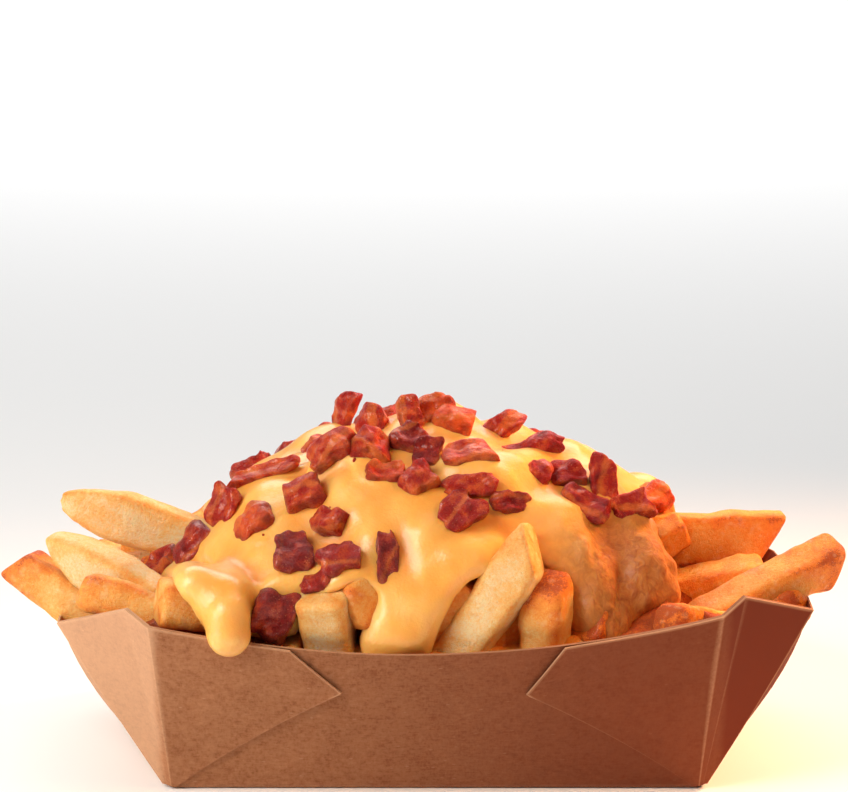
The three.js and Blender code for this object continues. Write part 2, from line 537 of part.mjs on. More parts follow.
function allBits() {
  const behind = BITS.filter((bit) => bit.behind).map((bit, i) => {
    const away = (bit.at[0] - MOUND.x) * (bit.at[0] > MOUND.x ? 0.75 : 1.1);
    return {
      at: [MOUND.x - away + mix(-4, 4, draw(i, 21)), -bit.at[1] + mix(0, 4, draw(i, 22)), bit.at[2] - 4],
      size: bit.size.map((v) => v * mix(0.9, 1.08, draw(i, 23))),
      turn: bit.turn + mix(-40, 40, draw(i, 24)),
      tip: bit.tip,
      turned: true,
    };
  });
  return [...BITS, ...behind];
}

function outwardAt(point) {
  const step = 1.5;
  const slope = (x, y, z) => {
    const away = new THREE.Vector3(x, y, z).multiplyScalar(step);
    return supportDistance(point.clone().add(away)) - supportDistance(point.clone().sub(away));
  };
  return new THREE.Vector3(slope(1, 0, 0), slope(0, 1, 0), slope(0, 0, 1)).normalize();
}

// The place that a bit's mark was taken from: the far side has its own.
function viewOf(bit) {
  const from = vec(VIEW.from);
  return bit.turned ? new THREE.Vector3(2 * MOUND.x - from.x, -from.y, from.z) : from;
}

// Where the view through a mark meets the sauce, or the sauce's place nearest to the mark.
function placeOf(bit, from) {
  const mark = vec(bit.at);
  const gaze = mark.clone().sub(from).normalize();
  for (let s = -VIEW.reach; s < VIEW.reach; s += VIEW.step) {
    const point = mark.clone().addScaledVector(gaze, s);
    if (supportDistance(point) < SAUCE.thickness) return point;
  }
  return mark.clone().addScaledVector(outwardAt(mark), SAUCE.thickness - supportDistance(mark));
}

// A bit's middle and its own three directions, with the direction it faces. On slopes that turn away from the view
// it stands up a little and leans towards it.
function bitFrame(bit) {
  const from = viewOf(bit);
  const point = placeOf(bit, from);
  const normal = outwardAt(point);
  const toward = from.sub(point).normalize();
  const turnedAway = Math.max(0, VIEW.facing - normal.dot(toward));
  normal.addScaledVector(toward, turnedAway).normalize();
  const level = new THREE.Vector3(1, 0, 0).addScaledVector(normal, -normal.x).normalize();
  const rise = normal.clone().cross(level);
  const turn = radians(bit.turn);
  const flat = level.multiplyScalar(Math.cos(turn)).addScaledVector(rise, Math.sin(turn));
  const tip = radians(bit.tip);
  const along = flat.clone().multiplyScalar(Math.cos(tip)).addScaledVector(normal, Math.sin(tip));
  const across = normal.clone().cross(flat).normalize();
  const lift = bit.size[0] / 2 * Math.sin(tip) * 0.8 + bit.size[2] * 0.14 + bit.size[1] * 0.17 * turnedAway;
  const floor = normal.dot(point) + GAP * 1.5;
  return { middle: point.addScaledVector(normal, lift), along, across, up: along.clone().cross(across), normal, floor };
}

function bitSolid(bit, index, grow) {
  const { middle, along, across, up, normal, floor } = bitFrame(bit);
  const [long, wide, thick] = bit.size;
  const cells = [long > LONG_BIT ? 3 : 2, 2];
  const wave = mix(0.6, 1.8, draw(index, 31));
  const grid = (side) => Array.from({ length: cells[0] + 1 }, (_, i) => Array.from({ length: cells[1] + 1 }, (__, j) => {
    const a = i / cells[0] * 2 - 1;
    const b = j / cells[1] * 2 - 1;
    const nip = 1 - 0.22 * a * a * b * b - 0.12 * draw(index * 31 + i * 7 + j, 32);
    const x = a * (long / 2 * nip + grow);
    const y = b * (wide / 2 * nip + grow) + (draw(index * 17 + i, 33) - 0.5) * wide * 0.18;
    const crown = 1 - 0.35 * a * a - 0.25 * b * b;
    const z = side * (thick / 2 * crown * mix(0.8, 1.1, draw(index * 13 + i * 5 + j, 34)) + grow)
      + wave * Math.sin(a * 2.6 + index);
    return middle.clone().addScaledVector(along, x).addScaledVector(across, y).addScaledVector(up, z);
  }));
  return plate(grid(1), grid(-1)).trimByPlane(normal.toArray(), floor - grow);
}

// Assembly: each piece is cut clear of what it lies on or in
function assemble() {
  const union = (list) => wasm.Manifold.union(list);
  const heap = largest(union([coreSolid(0), ...HEAP.map((f) => frySolid(f, 0))]).subtract(trayShell(GAP, BOARD + GAP, GAP)));
  const heapRoom = union([coreSolid(GAP), ...HEAP.map((f) => frySolid(f, GAP))]);
  const room = heapRoom.add(trayShell(BOARD + GAP, BOARD + GAP, GAP));
  const sauce = largest(sauceBlob(0).subtract(room));
  let taken = room.add(sauceBlob(GAP));
  const bits = allBits().map((bit, i) => {
    const made = largest(bitSolid(bit, i, 0).subtract(taken).simplify(TOLERANCE.food));
    taken = taken.add(bitSolid(bit, i, GAP));
    return made;
  });
  return {
    tray: traySolid().simplify(TOLERANCE.board),
    heap: largest(heap.simplify(TOLERANCE.food)),
    sauce: largest(sauce.simplify(TOLERANCE.food)),
    bits,
  };
}

const LOOKS = {
  kraft: { color: 0xb07a50, roughness: 0.85 },
  potato: { color: 0xe8a858, roughness: 0.6 },
  cheese: { color: 0xf2ae4e, roughness: 0.25 },
  bacon: { color: 0xa8432e, roughness: 0.45 },
};

function mesh(name, made, look) {
  const piece = new THREE.Mesh(geometryOf(made), new THREE.MeshStandardMaterial({ ...look, metalness: 0 }));
  piece.name = name;
  return piece;
}

const made = assemble();
const loadedFries = new THREE.Group();
loadedFries.add(
  mesh('tray', made.tray, LOOKS.kraft),
  mesh('fries', made.heap, LOOKS.potato),
  mesh('cheese_sauce', made.sauce, LOOKS.cheese),
  ...made.bits.map((bit, i) => mesh(`bacon_${String(i + 1).padStart(2, '0')}`, bit, LOOKS.bacon)),
);

export default loadedFries;
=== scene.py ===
import logging
import math
from dataclasses import dataclass, field
from enum import Enum
from typing import Callable, Sequence

import bpy
import numpy as np
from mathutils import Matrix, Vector


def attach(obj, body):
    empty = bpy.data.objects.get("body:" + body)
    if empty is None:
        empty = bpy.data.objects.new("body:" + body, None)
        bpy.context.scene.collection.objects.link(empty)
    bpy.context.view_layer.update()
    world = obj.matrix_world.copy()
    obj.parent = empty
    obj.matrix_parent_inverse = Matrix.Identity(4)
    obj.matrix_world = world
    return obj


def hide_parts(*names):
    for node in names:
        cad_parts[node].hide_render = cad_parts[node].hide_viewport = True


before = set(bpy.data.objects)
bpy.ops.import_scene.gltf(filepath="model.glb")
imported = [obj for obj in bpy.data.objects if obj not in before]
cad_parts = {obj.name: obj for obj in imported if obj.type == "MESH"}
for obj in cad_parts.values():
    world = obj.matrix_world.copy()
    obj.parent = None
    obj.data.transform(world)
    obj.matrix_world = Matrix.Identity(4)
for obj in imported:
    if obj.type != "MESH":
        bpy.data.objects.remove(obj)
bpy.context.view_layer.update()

LOG = logging.getLogger("loaded_fries")
MM = 0.001
Points = np.ndarray
Colour = tuple[float, float, float]


# Numbers

def draw(i: int, k: int) -> float:
    """Return the repeatable draw from 0 to 1 that the solids' layout also uses."""
    value = math.sin(i * 12.9898 + k * 78.233) * 43758.5453
    return value - math.floor(value)


def mix(a, b, t):
    """Return the value that lies the share t of the way from a to b."""
    return a + (b - a) * t


def smoothstep(values: Points) -> Points:
    """Return an eased copy of values, held between 0 and 1."""
    t = np.clip(values, 0.0, 1.0)
    return t * t * (3 - 2 * t)


def soft_min(a: Points, b: Points, reach: float) -> Points:
    """Return the lesser of two distances, run together over reach millimetres."""
    h = np.clip(0.5 + 0.5 * (b - a) / reach, 0.0, 1.0)
    return b + (a - b) * h - reach * h * (1 - h)


def soft_max(a: Points, b: Points, reach: float) -> Points:
    """Return the greater of two distances, run together over reach millimetres."""
    return -soft_min(-a, -b, reach)


def normalise(vectors: Points) -> Points:
    """Return vectors at length 1."""
    return vectors / np.maximum(np.linalg.norm(vectors, axis=-1, keepdims=True), 1e-12)


def lattice_noise(points: Points, cell: float, seed: int) -> Points:
    """Return smooth noise from -1 to 1.

    Args:
        points: Places in millimetres, n by 3.
        cell: Size of one bump in millimetres.
        seed: Picks one of many patterns.

    Returns:
        One value for each point.
    """
    scaled = points / cell + seed * 17.31
    base = np.floor(scaled).astype(np.int64)
    part = scaled - base
    part = part * part * part * (part * (part * 6 - 15) + 10)
    total = np.zeros(len(points))
    for corner in range(8):
        step = np.array([corner & 1, corner >> 1 & 1, corner >> 2 & 1])
        at = base + step
        mixed = (at[:, 0] * 73856093) ^ (at[:, 1] * 19349663) ^ (at[:, 2] * 83492791) ^ (seed * 2654435761)
        mixed = (mixed ^ (mixed >> 13)) * 1274126177 & 0x7FFFFFFF
        value = (mixed ^ (mixed >> 16)) % 65536 / 32767.5 - 1
        weight = np.prod(np.where(step, part, 1 - part), axis=1)
        total += value * weight
    return total


def srgb(red: int, green: int, blue: int) -> Colour:
    """Return a colour that is given as a screen shows it, as linear light."""
    def linear(v: float) -> float:
        """Return one channel as linear light."""
        c = v / 255
        return c / 12.92 if c <= 0.04045 else ((c + 0.055) / 1.055) ** 2.4
    return linear(red), linear(green), linear(blue)


# Meshes

@dataclass
class Shape:
    """A mesh in the making: places in millimetres, faces, and a value for each point by name."""

    points: Points
    faces: list
    values: dict[str, Points] = field(default_factory=dict)

    def joined(self, other: "Shape") -> "Shape":
        """Return this shape and another as one."""
        shift = len(self.points)
        faces = list(self.faces) + [tuple(i + shift for i in face) for face in other.faces]
        values = {}
        for name in {**self.values, **other.values}:
            mine = self.values.get(name, np.zeros(len(self.points)))
            theirs = other.values.get(name, np.zeros(len(other.points)))
            values[name] = np.concatenate([mine, theirs])
        return Shape(np.vstack([self.points, other.points]), faces, values)


def join_all(shapes: Sequence[Shape]) -> Shape:
    """Return many shapes as one, in one pass.

    Args:
        shapes: Shapes that carry the same named values.

    Returns:
        The joined shape.
    """
    points, faces, shift = [], [], 0
    for shape in shapes:
        points.append(shape.points)
        faces.extend(tuple(i + shift for i in face) for face in shape.faces)
        shift += len(shape.points)
    names = shapes[0].values
    return Shape(np.vstack(points), faces, {n: np.concatenate([s.values[n] for s in shapes]) for n in names})


def ring_faces(rings: int, count: int, start: int = 0) -> list:
    """Return the quads between stacked closed rings of points.

    Args:
        rings: How many rings.
        count: Points in a ring, counter-clockwise from the last ring's side.
        start: Index of the first point.

    Returns:
        Faces that point outwards.
    """
    faces = []
    for r in range(rings - 1):
        low, high = start + r * count, start + (r + 1) * count
        faces.extend((low + c, low + (c + 1) % count, high + (c + 1) % count, high + c) for c in range(count))
    return faces


def to_object(shape: Shape, name: str, material: bpy.types.Material, sharp: float | None = None) -> bpy.types.Object:
    """Make a shape an object in the scene.

    Args:
        shape: The mesh in millimetres.
        name: The piece's name.
        material: Its finish.
        sharp: Angle in degrees over which an edge stays sharp, or None for smooth all over.

    Returns:
        The object, at the origin, in metres.
    """
    mesh = bpy.data.meshes.new(name)
    mesh.from_pydata((shape.points * MM).tolist(), [], shape.faces)
    for label, values in shape.values.items():
        mesh.attributes.new(label, "FLOAT", "POINT").data.foreach_set("value", values.astype(np.float32))
    mesh.materials.append(material)
    mesh.shade_smooth()
    if sharp is not None:
        mesh.set_sharp_from_angle(angle=math.radians(sharp))
    mesh.update()
    made = bpy.data.objects.new(name, mesh)
    bpy.context.scene.collection.objects.link(made)
    return made


def settle(piece: bpy.types.Object, slot: str, *nodes: str) -> None:
    """Tie a finished piece to the frame and hide the solids that it stands for."""
    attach(piece, "root")
    if nodes:
        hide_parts(*nodes)
    LOG.info("%s: %d faces", piece.name, len(piece.data.polygons))


# Node trees

class Value:
    """One number socket of a node tree, which takes part in plain maths."""

    def __init__(self, tree: "Tree", socket: bpy.types.NodeSocket) -> None:
        """Wrap a socket of a tree."""
        self.tree = tree
        self.socket = socket

    def _with(self, operation: str, first, second) -> "Value":
        """Return the outcome of one Math node."""
        return self.tree.math(operation, first, second)

    def __add__(self, other) -> "Value":
        """Return self + other."""
        return self._with("ADD", self, other)

    def __radd__(self, other) -> "Value":
        """Return other + self."""
        return self._with("ADD", other, self)

    def __sub__(self, other) -> "Value":
        """Return self - other."""
        return self._with("SUBTRACT", self, other)

    def __rsub__(self, other) -> "Value":
        """Return other - self."""
        return self._with("SUBTRACT", other, self)

    def __mul__(self, other) -> "Value":
        """Return self * other."""
        return self._with("MULTIPLY", self, other)

    def __rmul__(self, other) -> "Value":
        """Return other * self."""
        return self._with("MULTIPLY", other, self)

    def __truediv__(self, other) -> "Value":
        """Return self / other."""
        return self._with("DIVIDE", self, other)

    def __pow__(self, other) -> "Value":
        """Return self to the power of other."""
        return self._with("POWER", self, other)


class Tree:
    """A node tree under construction."""

    def __init__(self, nodes: bpy.types.Nodes, links: bpy.types.NodeLinks) -> None:
        """Start on a tree's nodes and links."""
        self.nodes = nodes
        self.links = links

    def node(self, kind: str, settings: dict | None = None, values: dict | None = None) -> bpy.types.Node:
        """Add a node.

        Args:
            kind: The node's type.
            settings: Its own settings, set before anything else.
            values: Numbers, colours or links for its input sockets, by name or place.

        Returns:
            The node.
        """
        made = self.nodes.new(kind)
        for name, value in (settings or {}).items():
            setattr(made, name, value)
        for name, value in (values or {}).items():
            target = made.inputs[name]
            if isinstance(value, Value):
                self.links.new(value.socket, target)
            elif isinstance(value, bpy.types.NodeSocket):
                self.links.new(value, target)
            elif target.type == "RGBA" and len(value) == 3:
                target.default_value = (*value, 1.0)
            else:
                target.default_value = value
        return made

    def math(self, operation: str, first, second=0.0) -> Value:
        """Return the outcome of one Math node."""
        made = self.node("ShaderNodeMath", {"operation": operation}, {0: first, 1: second})
        return Value(self, made.outputs[0])

    def clamp(self, value: Value) -> Value:
        """Return a value held between 0 and 1."""
        return Value(self, self.node("ShaderNodeClamp", None, {"Value": value}).outputs[0])

    def step(self, value: Value, low: float, high: float) -> Value:
        """Return 0 below low and 1 above high, eased between them."""
        made = self.node("ShaderNodeMapRange", {"interpolation_type": "SMOOTHSTEP"},
                         {"Value": value, "From Min": low, "From Max": high})
        return Value(self, made.outputs[0])

    def attribute(self, name: str) -> Value:
        """Return a value that the mesh carries at its points."""
        return Value(self, self.node("ShaderNodeAttribute", {"attribute_name": name}).outputs["Fac"])


class Finish(Tree):
    """A material under construction: patterns in millimetres that feed one Principled shader."""

    def __init__(self, name: str, **constants) -> None:
        """Start a material whose shader has the given constant sockets."""
        self.material = bpy.data.materials.new(name)
        self.material.use_nodes = True
        tree = self.material.node_tree
        tree.nodes.clear()
        super().__init__(tree.nodes, tree.links)
        self.shader = self.node("ShaderNodeBsdfPrincipled", None, {k.replace("_", " "): v for k, v in constants.items()})
        out = self.node("ShaderNodeOutputMaterial")
        self.links.new(self.shader.outputs[0], out.inputs["Surface"])
        place = self.node("ShaderNodeTexCoord").outputs["Object"]
        self.place = self.stretched((1000, 1000, 1000), place)

    def stretched(self, scale: Sequence[float], vector=None, turn: Sequence[float] = (0, 0, 0)) -> bpy.types.NodeSocket:
        """Return the place on the object, scaled along its own axes and turned by degrees."""
        made = self.node("ShaderNodeMapping", None, {
            "Vector": vector or self.place, "Scale": tuple(scale), "Rotation": tuple(math.radians(a) for a in turn)})
        return made.outputs[0]

    def along(self, axis: int) -> Value:
        """Return the place on the object along one of its axes, in millimetres."""
        return Value(self, self.node("ShaderNodeSeparateXYZ", None, {0: self.place}).outputs[axis])

    def noise(self, size: float, detail: float = 2, rough: float = 0.5, vector=None, distortion: float = 0) -> Value:
        """Return cloudy noise round 0.5 whose bumps are size millimetres across."""
        made = self.node("ShaderNodeTexNoise", None, {
            "Vector": vector or self.place, "Scale": 1 / size, "Detail": detail, "Roughness": rough,
            "Distortion": distortion})
        return Value(self, made.outputs[0])

    def cells(self, size: float, vector=None, feature: str = "F1") -> Value:
        """Return the distance to the nearest of scattered points, size millimetres apart."""
        made = self.node("ShaderNodeTexVoronoi", {"feature": feature}, {"Vector": vector or self.place, "Scale": 1 / size})
        return Value(self, made.outputs["Distance"])

    def blend(self, share, first, second, mode: str = "MIX") -> bpy.types.NodeSocket:
        """Return two colours mixed by a share."""
        made = self.node("ShaderNodeMix", {"data_type": "RGBA", "blend_type": mode},
                         {"Factor": share, 6: first, 7: second})
        return made.outputs[2]

    def ramp(self, value: Value, stops: Sequence[tuple[float, Colour]]) -> bpy.types.NodeSocket:
        """Return a colour picked along stops by a value."""
        made = self.node("ShaderNodeValToRGB", None, {"Fac": value})
        elements = made.color_ramp.elements
        while len(elements) < len(stops):
            elements.new(1.0)
        for element, (place, colour) in zip(elements, stops):
            element.position = place
            element.color = (*colour, 1.0)
        return made.outputs[0]

    def feed(self, **sockets) -> None:
        """Link varying values or colours to the shader's sockets."""
        for name, value in sockets.items():
            source = value.socket if isinstance(value, Value) else value
            self.links.new(source, self.shader.inputs[name.replace("_", " ")])

    def relief(self, height: Value, depth: float) -> None:
        """Feed the shader's normal with a height in parts of depth millimetres."""
        made = self.node("ShaderNodeBump", None, {"Height": height, "Strength": 1.0, "Distance": depth * MM})
        self.feed(Normal=made.outputs[0])


# Finishes

@dataclass(frozen=True)
class KraftBoard:
    """Unbleached board: cloudy brown with fibres and specks, paler where it is cut or creased, with painted light on
    the left end and painted shade growing towards the right.
    """

    body: Colour = srgb(152, 97, 62)
    pale: Colour = srgb(182, 126, 88)
    dark: Colour = srgb(126, 74, 44)
    cut: Colour = srgb(214, 168, 130)
    # Pale colour painted on the left end for the light that falls there: painted light.
    painted_left_light: Colour = srgb(236, 190, 152)
    # Dark red-brown painted on the right of the tray: painted shade.
    shaded_right_end: Colour = srgb(112, 44, 18)

    def make(self) -> bpy.types.Material:
        """Return the material."""
        f = Finish("kraft_board", Roughness=0.8, Specular_IOR_Level=0.25)
        cloud = f.noise(9, 4, 0.6)
        mottle = f.noise(1.6, 3, 0.65)
        across = f.noise(0.55, 3, 0.6, f.stretched((0.22, 1, 1)))
        slant = f.noise(0.6, 3, 0.6, f.stretched((0.25, 1, 1), turn=(0, 38, 0)))
        rise = f.noise(0.6, 3, 0.6, f.stretched((1, 1, 0.25), turn=(0, 14, 0)))
        fibre = across * 0.14 + slant * 0.36 + rise * 0.3 + f.noise(0.5, 3, 0.7) * 0.2
        tone = (cloud - 0.5) * 0.5 + (mottle - 0.5) * 0.7 + (fibre - 0.5) * 1.5
        colour = f.blend(f.clamp(tone * 1.7 + 0.35), f.blend(f.clamp(0.0 - tone * 1.7), self.body, self.dark), self.pale)
        specks = 1 - f.step(f.cells(1.9), 0.06, 0.13)
        colour = f.blend(specks * 0.35, colour, self.dark)
        glints = 1 - f.step(f.cells(2.6, f.stretched((0.35, 1, 1), turn=(0, 25, 0))), 0.05, 0.1)
        colour = f.blend(glints * 0.3, colour, self.cut)
        across_tray = f.along(0) + (cloud - 0.5) * 3
        # Painted light: past 76 mm to the left of the middle, the board is blended towards a paler, lit colour.
        colour = f.blend(f.step(0 - across_tray, 76, 79.5) * 0.42, colour, self.painted_left_light)
        # Painted shade: the board darkens from 60 mm left of the middle towards the right, and more again past 80 mm on
        # the right end.
        colour = f.blend(f.clamp(f.step(across_tray, -60, 66) * 0.8 + f.step(across_tray, 80, 84) * 0.25), colour, self.shaded_right_end)
        edge = f.clamp(f.attribute("edge"))
        crease = f.clamp(f.attribute("crease") * (f.noise(0.8, 2) + 0.35))
        colour = f.blend(crease * 0.4, colour, self.cut)
        colour = f.blend(edge * 0.55, colour, self.cut)
        f.feed(Base_Color=colour)
        f.relief(fibre * 0.7 + mottle * 0.3, 0.09)
        return f.material


@dataclass(frozen=True)
class FriedPotato:
    """Fried crust: pale gold on the flats, browned along edges and ends, blistered and a little oily."""

    pale: Colour = srgb(255, 224, 172)
    gold: Colour = srgb(255, 194, 110)
    deep: Colour = srgb(252, 160, 62)
    ember: Colour = srgb(242, 130, 40)
    burnt: Colour = srgb(196, 88, 28)

    def make(self, name: str) -> bpy.types.Material:
        """Return the material."""
        f = Finish(name, Specular_IOR_Level=0.45, Subsurface_Weight=0.35, Subsurface_Radius=(1.0, 0.5, 0.2),
                   Subsurface_Scale=2.4 * MM, Coat_Roughness=0.22)
        brown, tone = f.attribute("brown"), f.attribute("tone")
        patch = f.noise(7, 4, 0.6)
        grain = f.noise(0.9, 4, 0.7)
        fine = f.noise(0.42, 3, 0.7)
        blister = f.cells(1.7, feature="SMOOTH_F1")
        level = brown * 0.66 + (patch - 0.5) * 0.85 + (grain - 0.5) * 0.7 + (fine - 0.5) * 0.5 + (tone - 0.5) * 0.5 + 0.33
        colour = f.ramp(f.clamp(level), [
            (0.0, self.pale), (0.3, self.gold), (0.58, self.deep), (0.84, self.ember), (1.0, self.burnt)])
        blistered = f.step(blister, 0.5, 0.15) * f.step(f.noise(5, 2), 0.45, 0.62)
        colour = f.blend(blistered * 0.22, colour, self.pale)
        # Pale flecks: partly lighter crust, partly painted sparkle that stands in for tiny highlights.
        flecks = (1 - f.step(f.cells(0.8), 0.12, 0.22)) * f.step(patch, 0.42, 0.6)
        colour = f.blend(flecks * 0.3, colour, self.pale)
        f.feed(Base_Color=colour, Roughness=f.clamp(0.62 - (grain - 0.5) * 0.5 - (patch - 0.5) * 0.5),
               Coat_Weight=f.clamp((patch - 0.4) * 0.9))
        f.relief(grain * 0.6 + (1 - blister) * 0.4 + fine * 0.8, 0.75)
        return f.material


@dataclass(frozen=True)
class PouredCheese:
    """Warm poured cheese sauce: smooth and wet, with light that goes in and comes back warmer."""

    body: Colour = srgb(255, 187, 92)
    rich: Colour = srgb(252, 160, 60)
    light: Colour = srgb(255, 208, 130)
    # Dark orange-brown painted on the sauce's right flank as shade.
    shaded_right_flank: Colour = srgb(146, 64, 20)
    # Deep orange painted into the sauce's hollows as shade.
    deep: Colour = srgb(218, 106, 22)

    def make(self) -> bpy.types.Material:
        """Return the material."""
        f = Finish("cheese_sauce", Specular_IOR_Level=0.5, Subsurface_Weight=0.5, Subsurface_Radius=(1.0, 0.42, 0.12),
                   Subsurface_Scale=3.2 * MM, Coat_Roughness=0.2)
        cloud = f.noise(16, 3, 0.5)
        streak = f.noise(5, 3, 0.5, f.stretched((1, 1, 0.35)), 0.4)
        level = f.clamp((cloud - 0.5) * 1.2 + (streak - 0.5) * 0.5 + 0.5)
        colour = f.ramp(level, [(0.0, self.rich), (0.55, self.body), (1.0, self.light)])
        # Painted shade: hollows, measured on the mesh, are darkened towards deep orange.
        hollow = f.attribute("hollow")
        colour = f.blend(f.clamp(hollow * 0.6 + (cloud - 0.5) * 0.4) * 0.8, colour, self.deep)
        # Painted light: crests, where the hollow depth is below zero, are lightened towards the pale colour.
        colour = f.blend(f.clamp(0 - hollow * 0.3 - 0.15), colour, self.light)
        # Painted shade: the right flank, marked by the skin value, is darkened towards orange-brown; its wrinkles and
        # duller shine are real skin.
        skin = f.clamp(f.attribute("skin"))
        furrow = f.noise(2.2, 3, 0.6, f.stretched((1, 1, 0.6)), 1.2)
        colour = f.blend(f.clamp(skin * (0.74 + (furrow - 0.5) * 0.7)), colour, self.shaded_right_flank)
        f.feed(Base_Color=colour, Roughness=f.clamp(0.34 + skin * 0.18 + (cloud - 0.5) * 0.14),
               Coat_Weight=f.clamp(0.35 - skin * 0.2))
        f.relief(f.noise(3.2, 3, 0.5) * 0.6 + f.noise(0.9, 3, 0.6) * 0.55 + skin * furrow * 1.5, 0.28)
        return f.material


@dataclass(frozen=True)
class CrispBacon:
    """Fried bacon: lean in dark reds with paler fat between, oily and pitted."""

    lean: Colour = srgb(178, 26, 10)
    dark: Colour = srgb(122, 16, 12)
    bright: Colour = srgb(238, 96, 24)
    fat: Colour = srgb(244, 136, 56)
    # Pale pink painted for glints on the bacon.
    painted_glint: Colour = srgb(250, 168, 116)

    def make(self) -> bpy.types.Material:
        """Return the material."""
        f = Finish("crisp_bacon", Specular_IOR_Level=0.5, Subsurface_Weight=0.35, Subsurface_Radius=(1.0, 0.2, 0.06),
                   Subsurface_Scale=2.0 * MM, Coat_Roughness=0.16)
        fat, tone, char = f.attribute("fat"), f.attribute("tone"), f.attribute("char")
        grain = f.noise(0.42, 4, 0.75)
        patch = f.noise(3.4, 2, 0.5)
        pits = f.cells(0.8, feature="SMOOTH_F1")
        level = tone * 0.9 + (patch - 0.5) * 1.3 + (grain - 0.5) * 0.7 + 0.05
        meat = f.ramp(f.clamp(level), [(0.0, self.dark), (0.45, self.lean), (1.0, self.bright)])
        colour = f.blend(f.clamp(fat * 0.5 + (patch - 0.5) * 0.9 + (grain - 0.5) * 0.6), meat, self.fat)
        colour = f.blend(f.clamp(char * (0.3 + patch)) * 0.7, colour, self.dark)
        # Painted highlights: small pale flecks, in patches, stand in for glints on the bacon.
        flecks = (1 - f.step(f.cells(0.75), 0.12, 0.24)) * f.step(f.noise(4.5, 2), 0.46, 0.6)
        colour = f.blend(flecks * 0.45, colour, self.painted_glint)
        f.feed(Base_Color=colour, Roughness=f.clamp(0.36 + (grain - 0.5) * 0.6), Coat_Weight=f.clamp((patch - 0.4) * 2))
        f.relief(grain * 1.2 + pits * 0.9 + patch * 0.3, 0.7)
        return f.material


# Tray

class Hand(Enum):
    """Left or right end of the tray, as the viewer sees it."""

    LEFT = -1
    RIGHT = 1


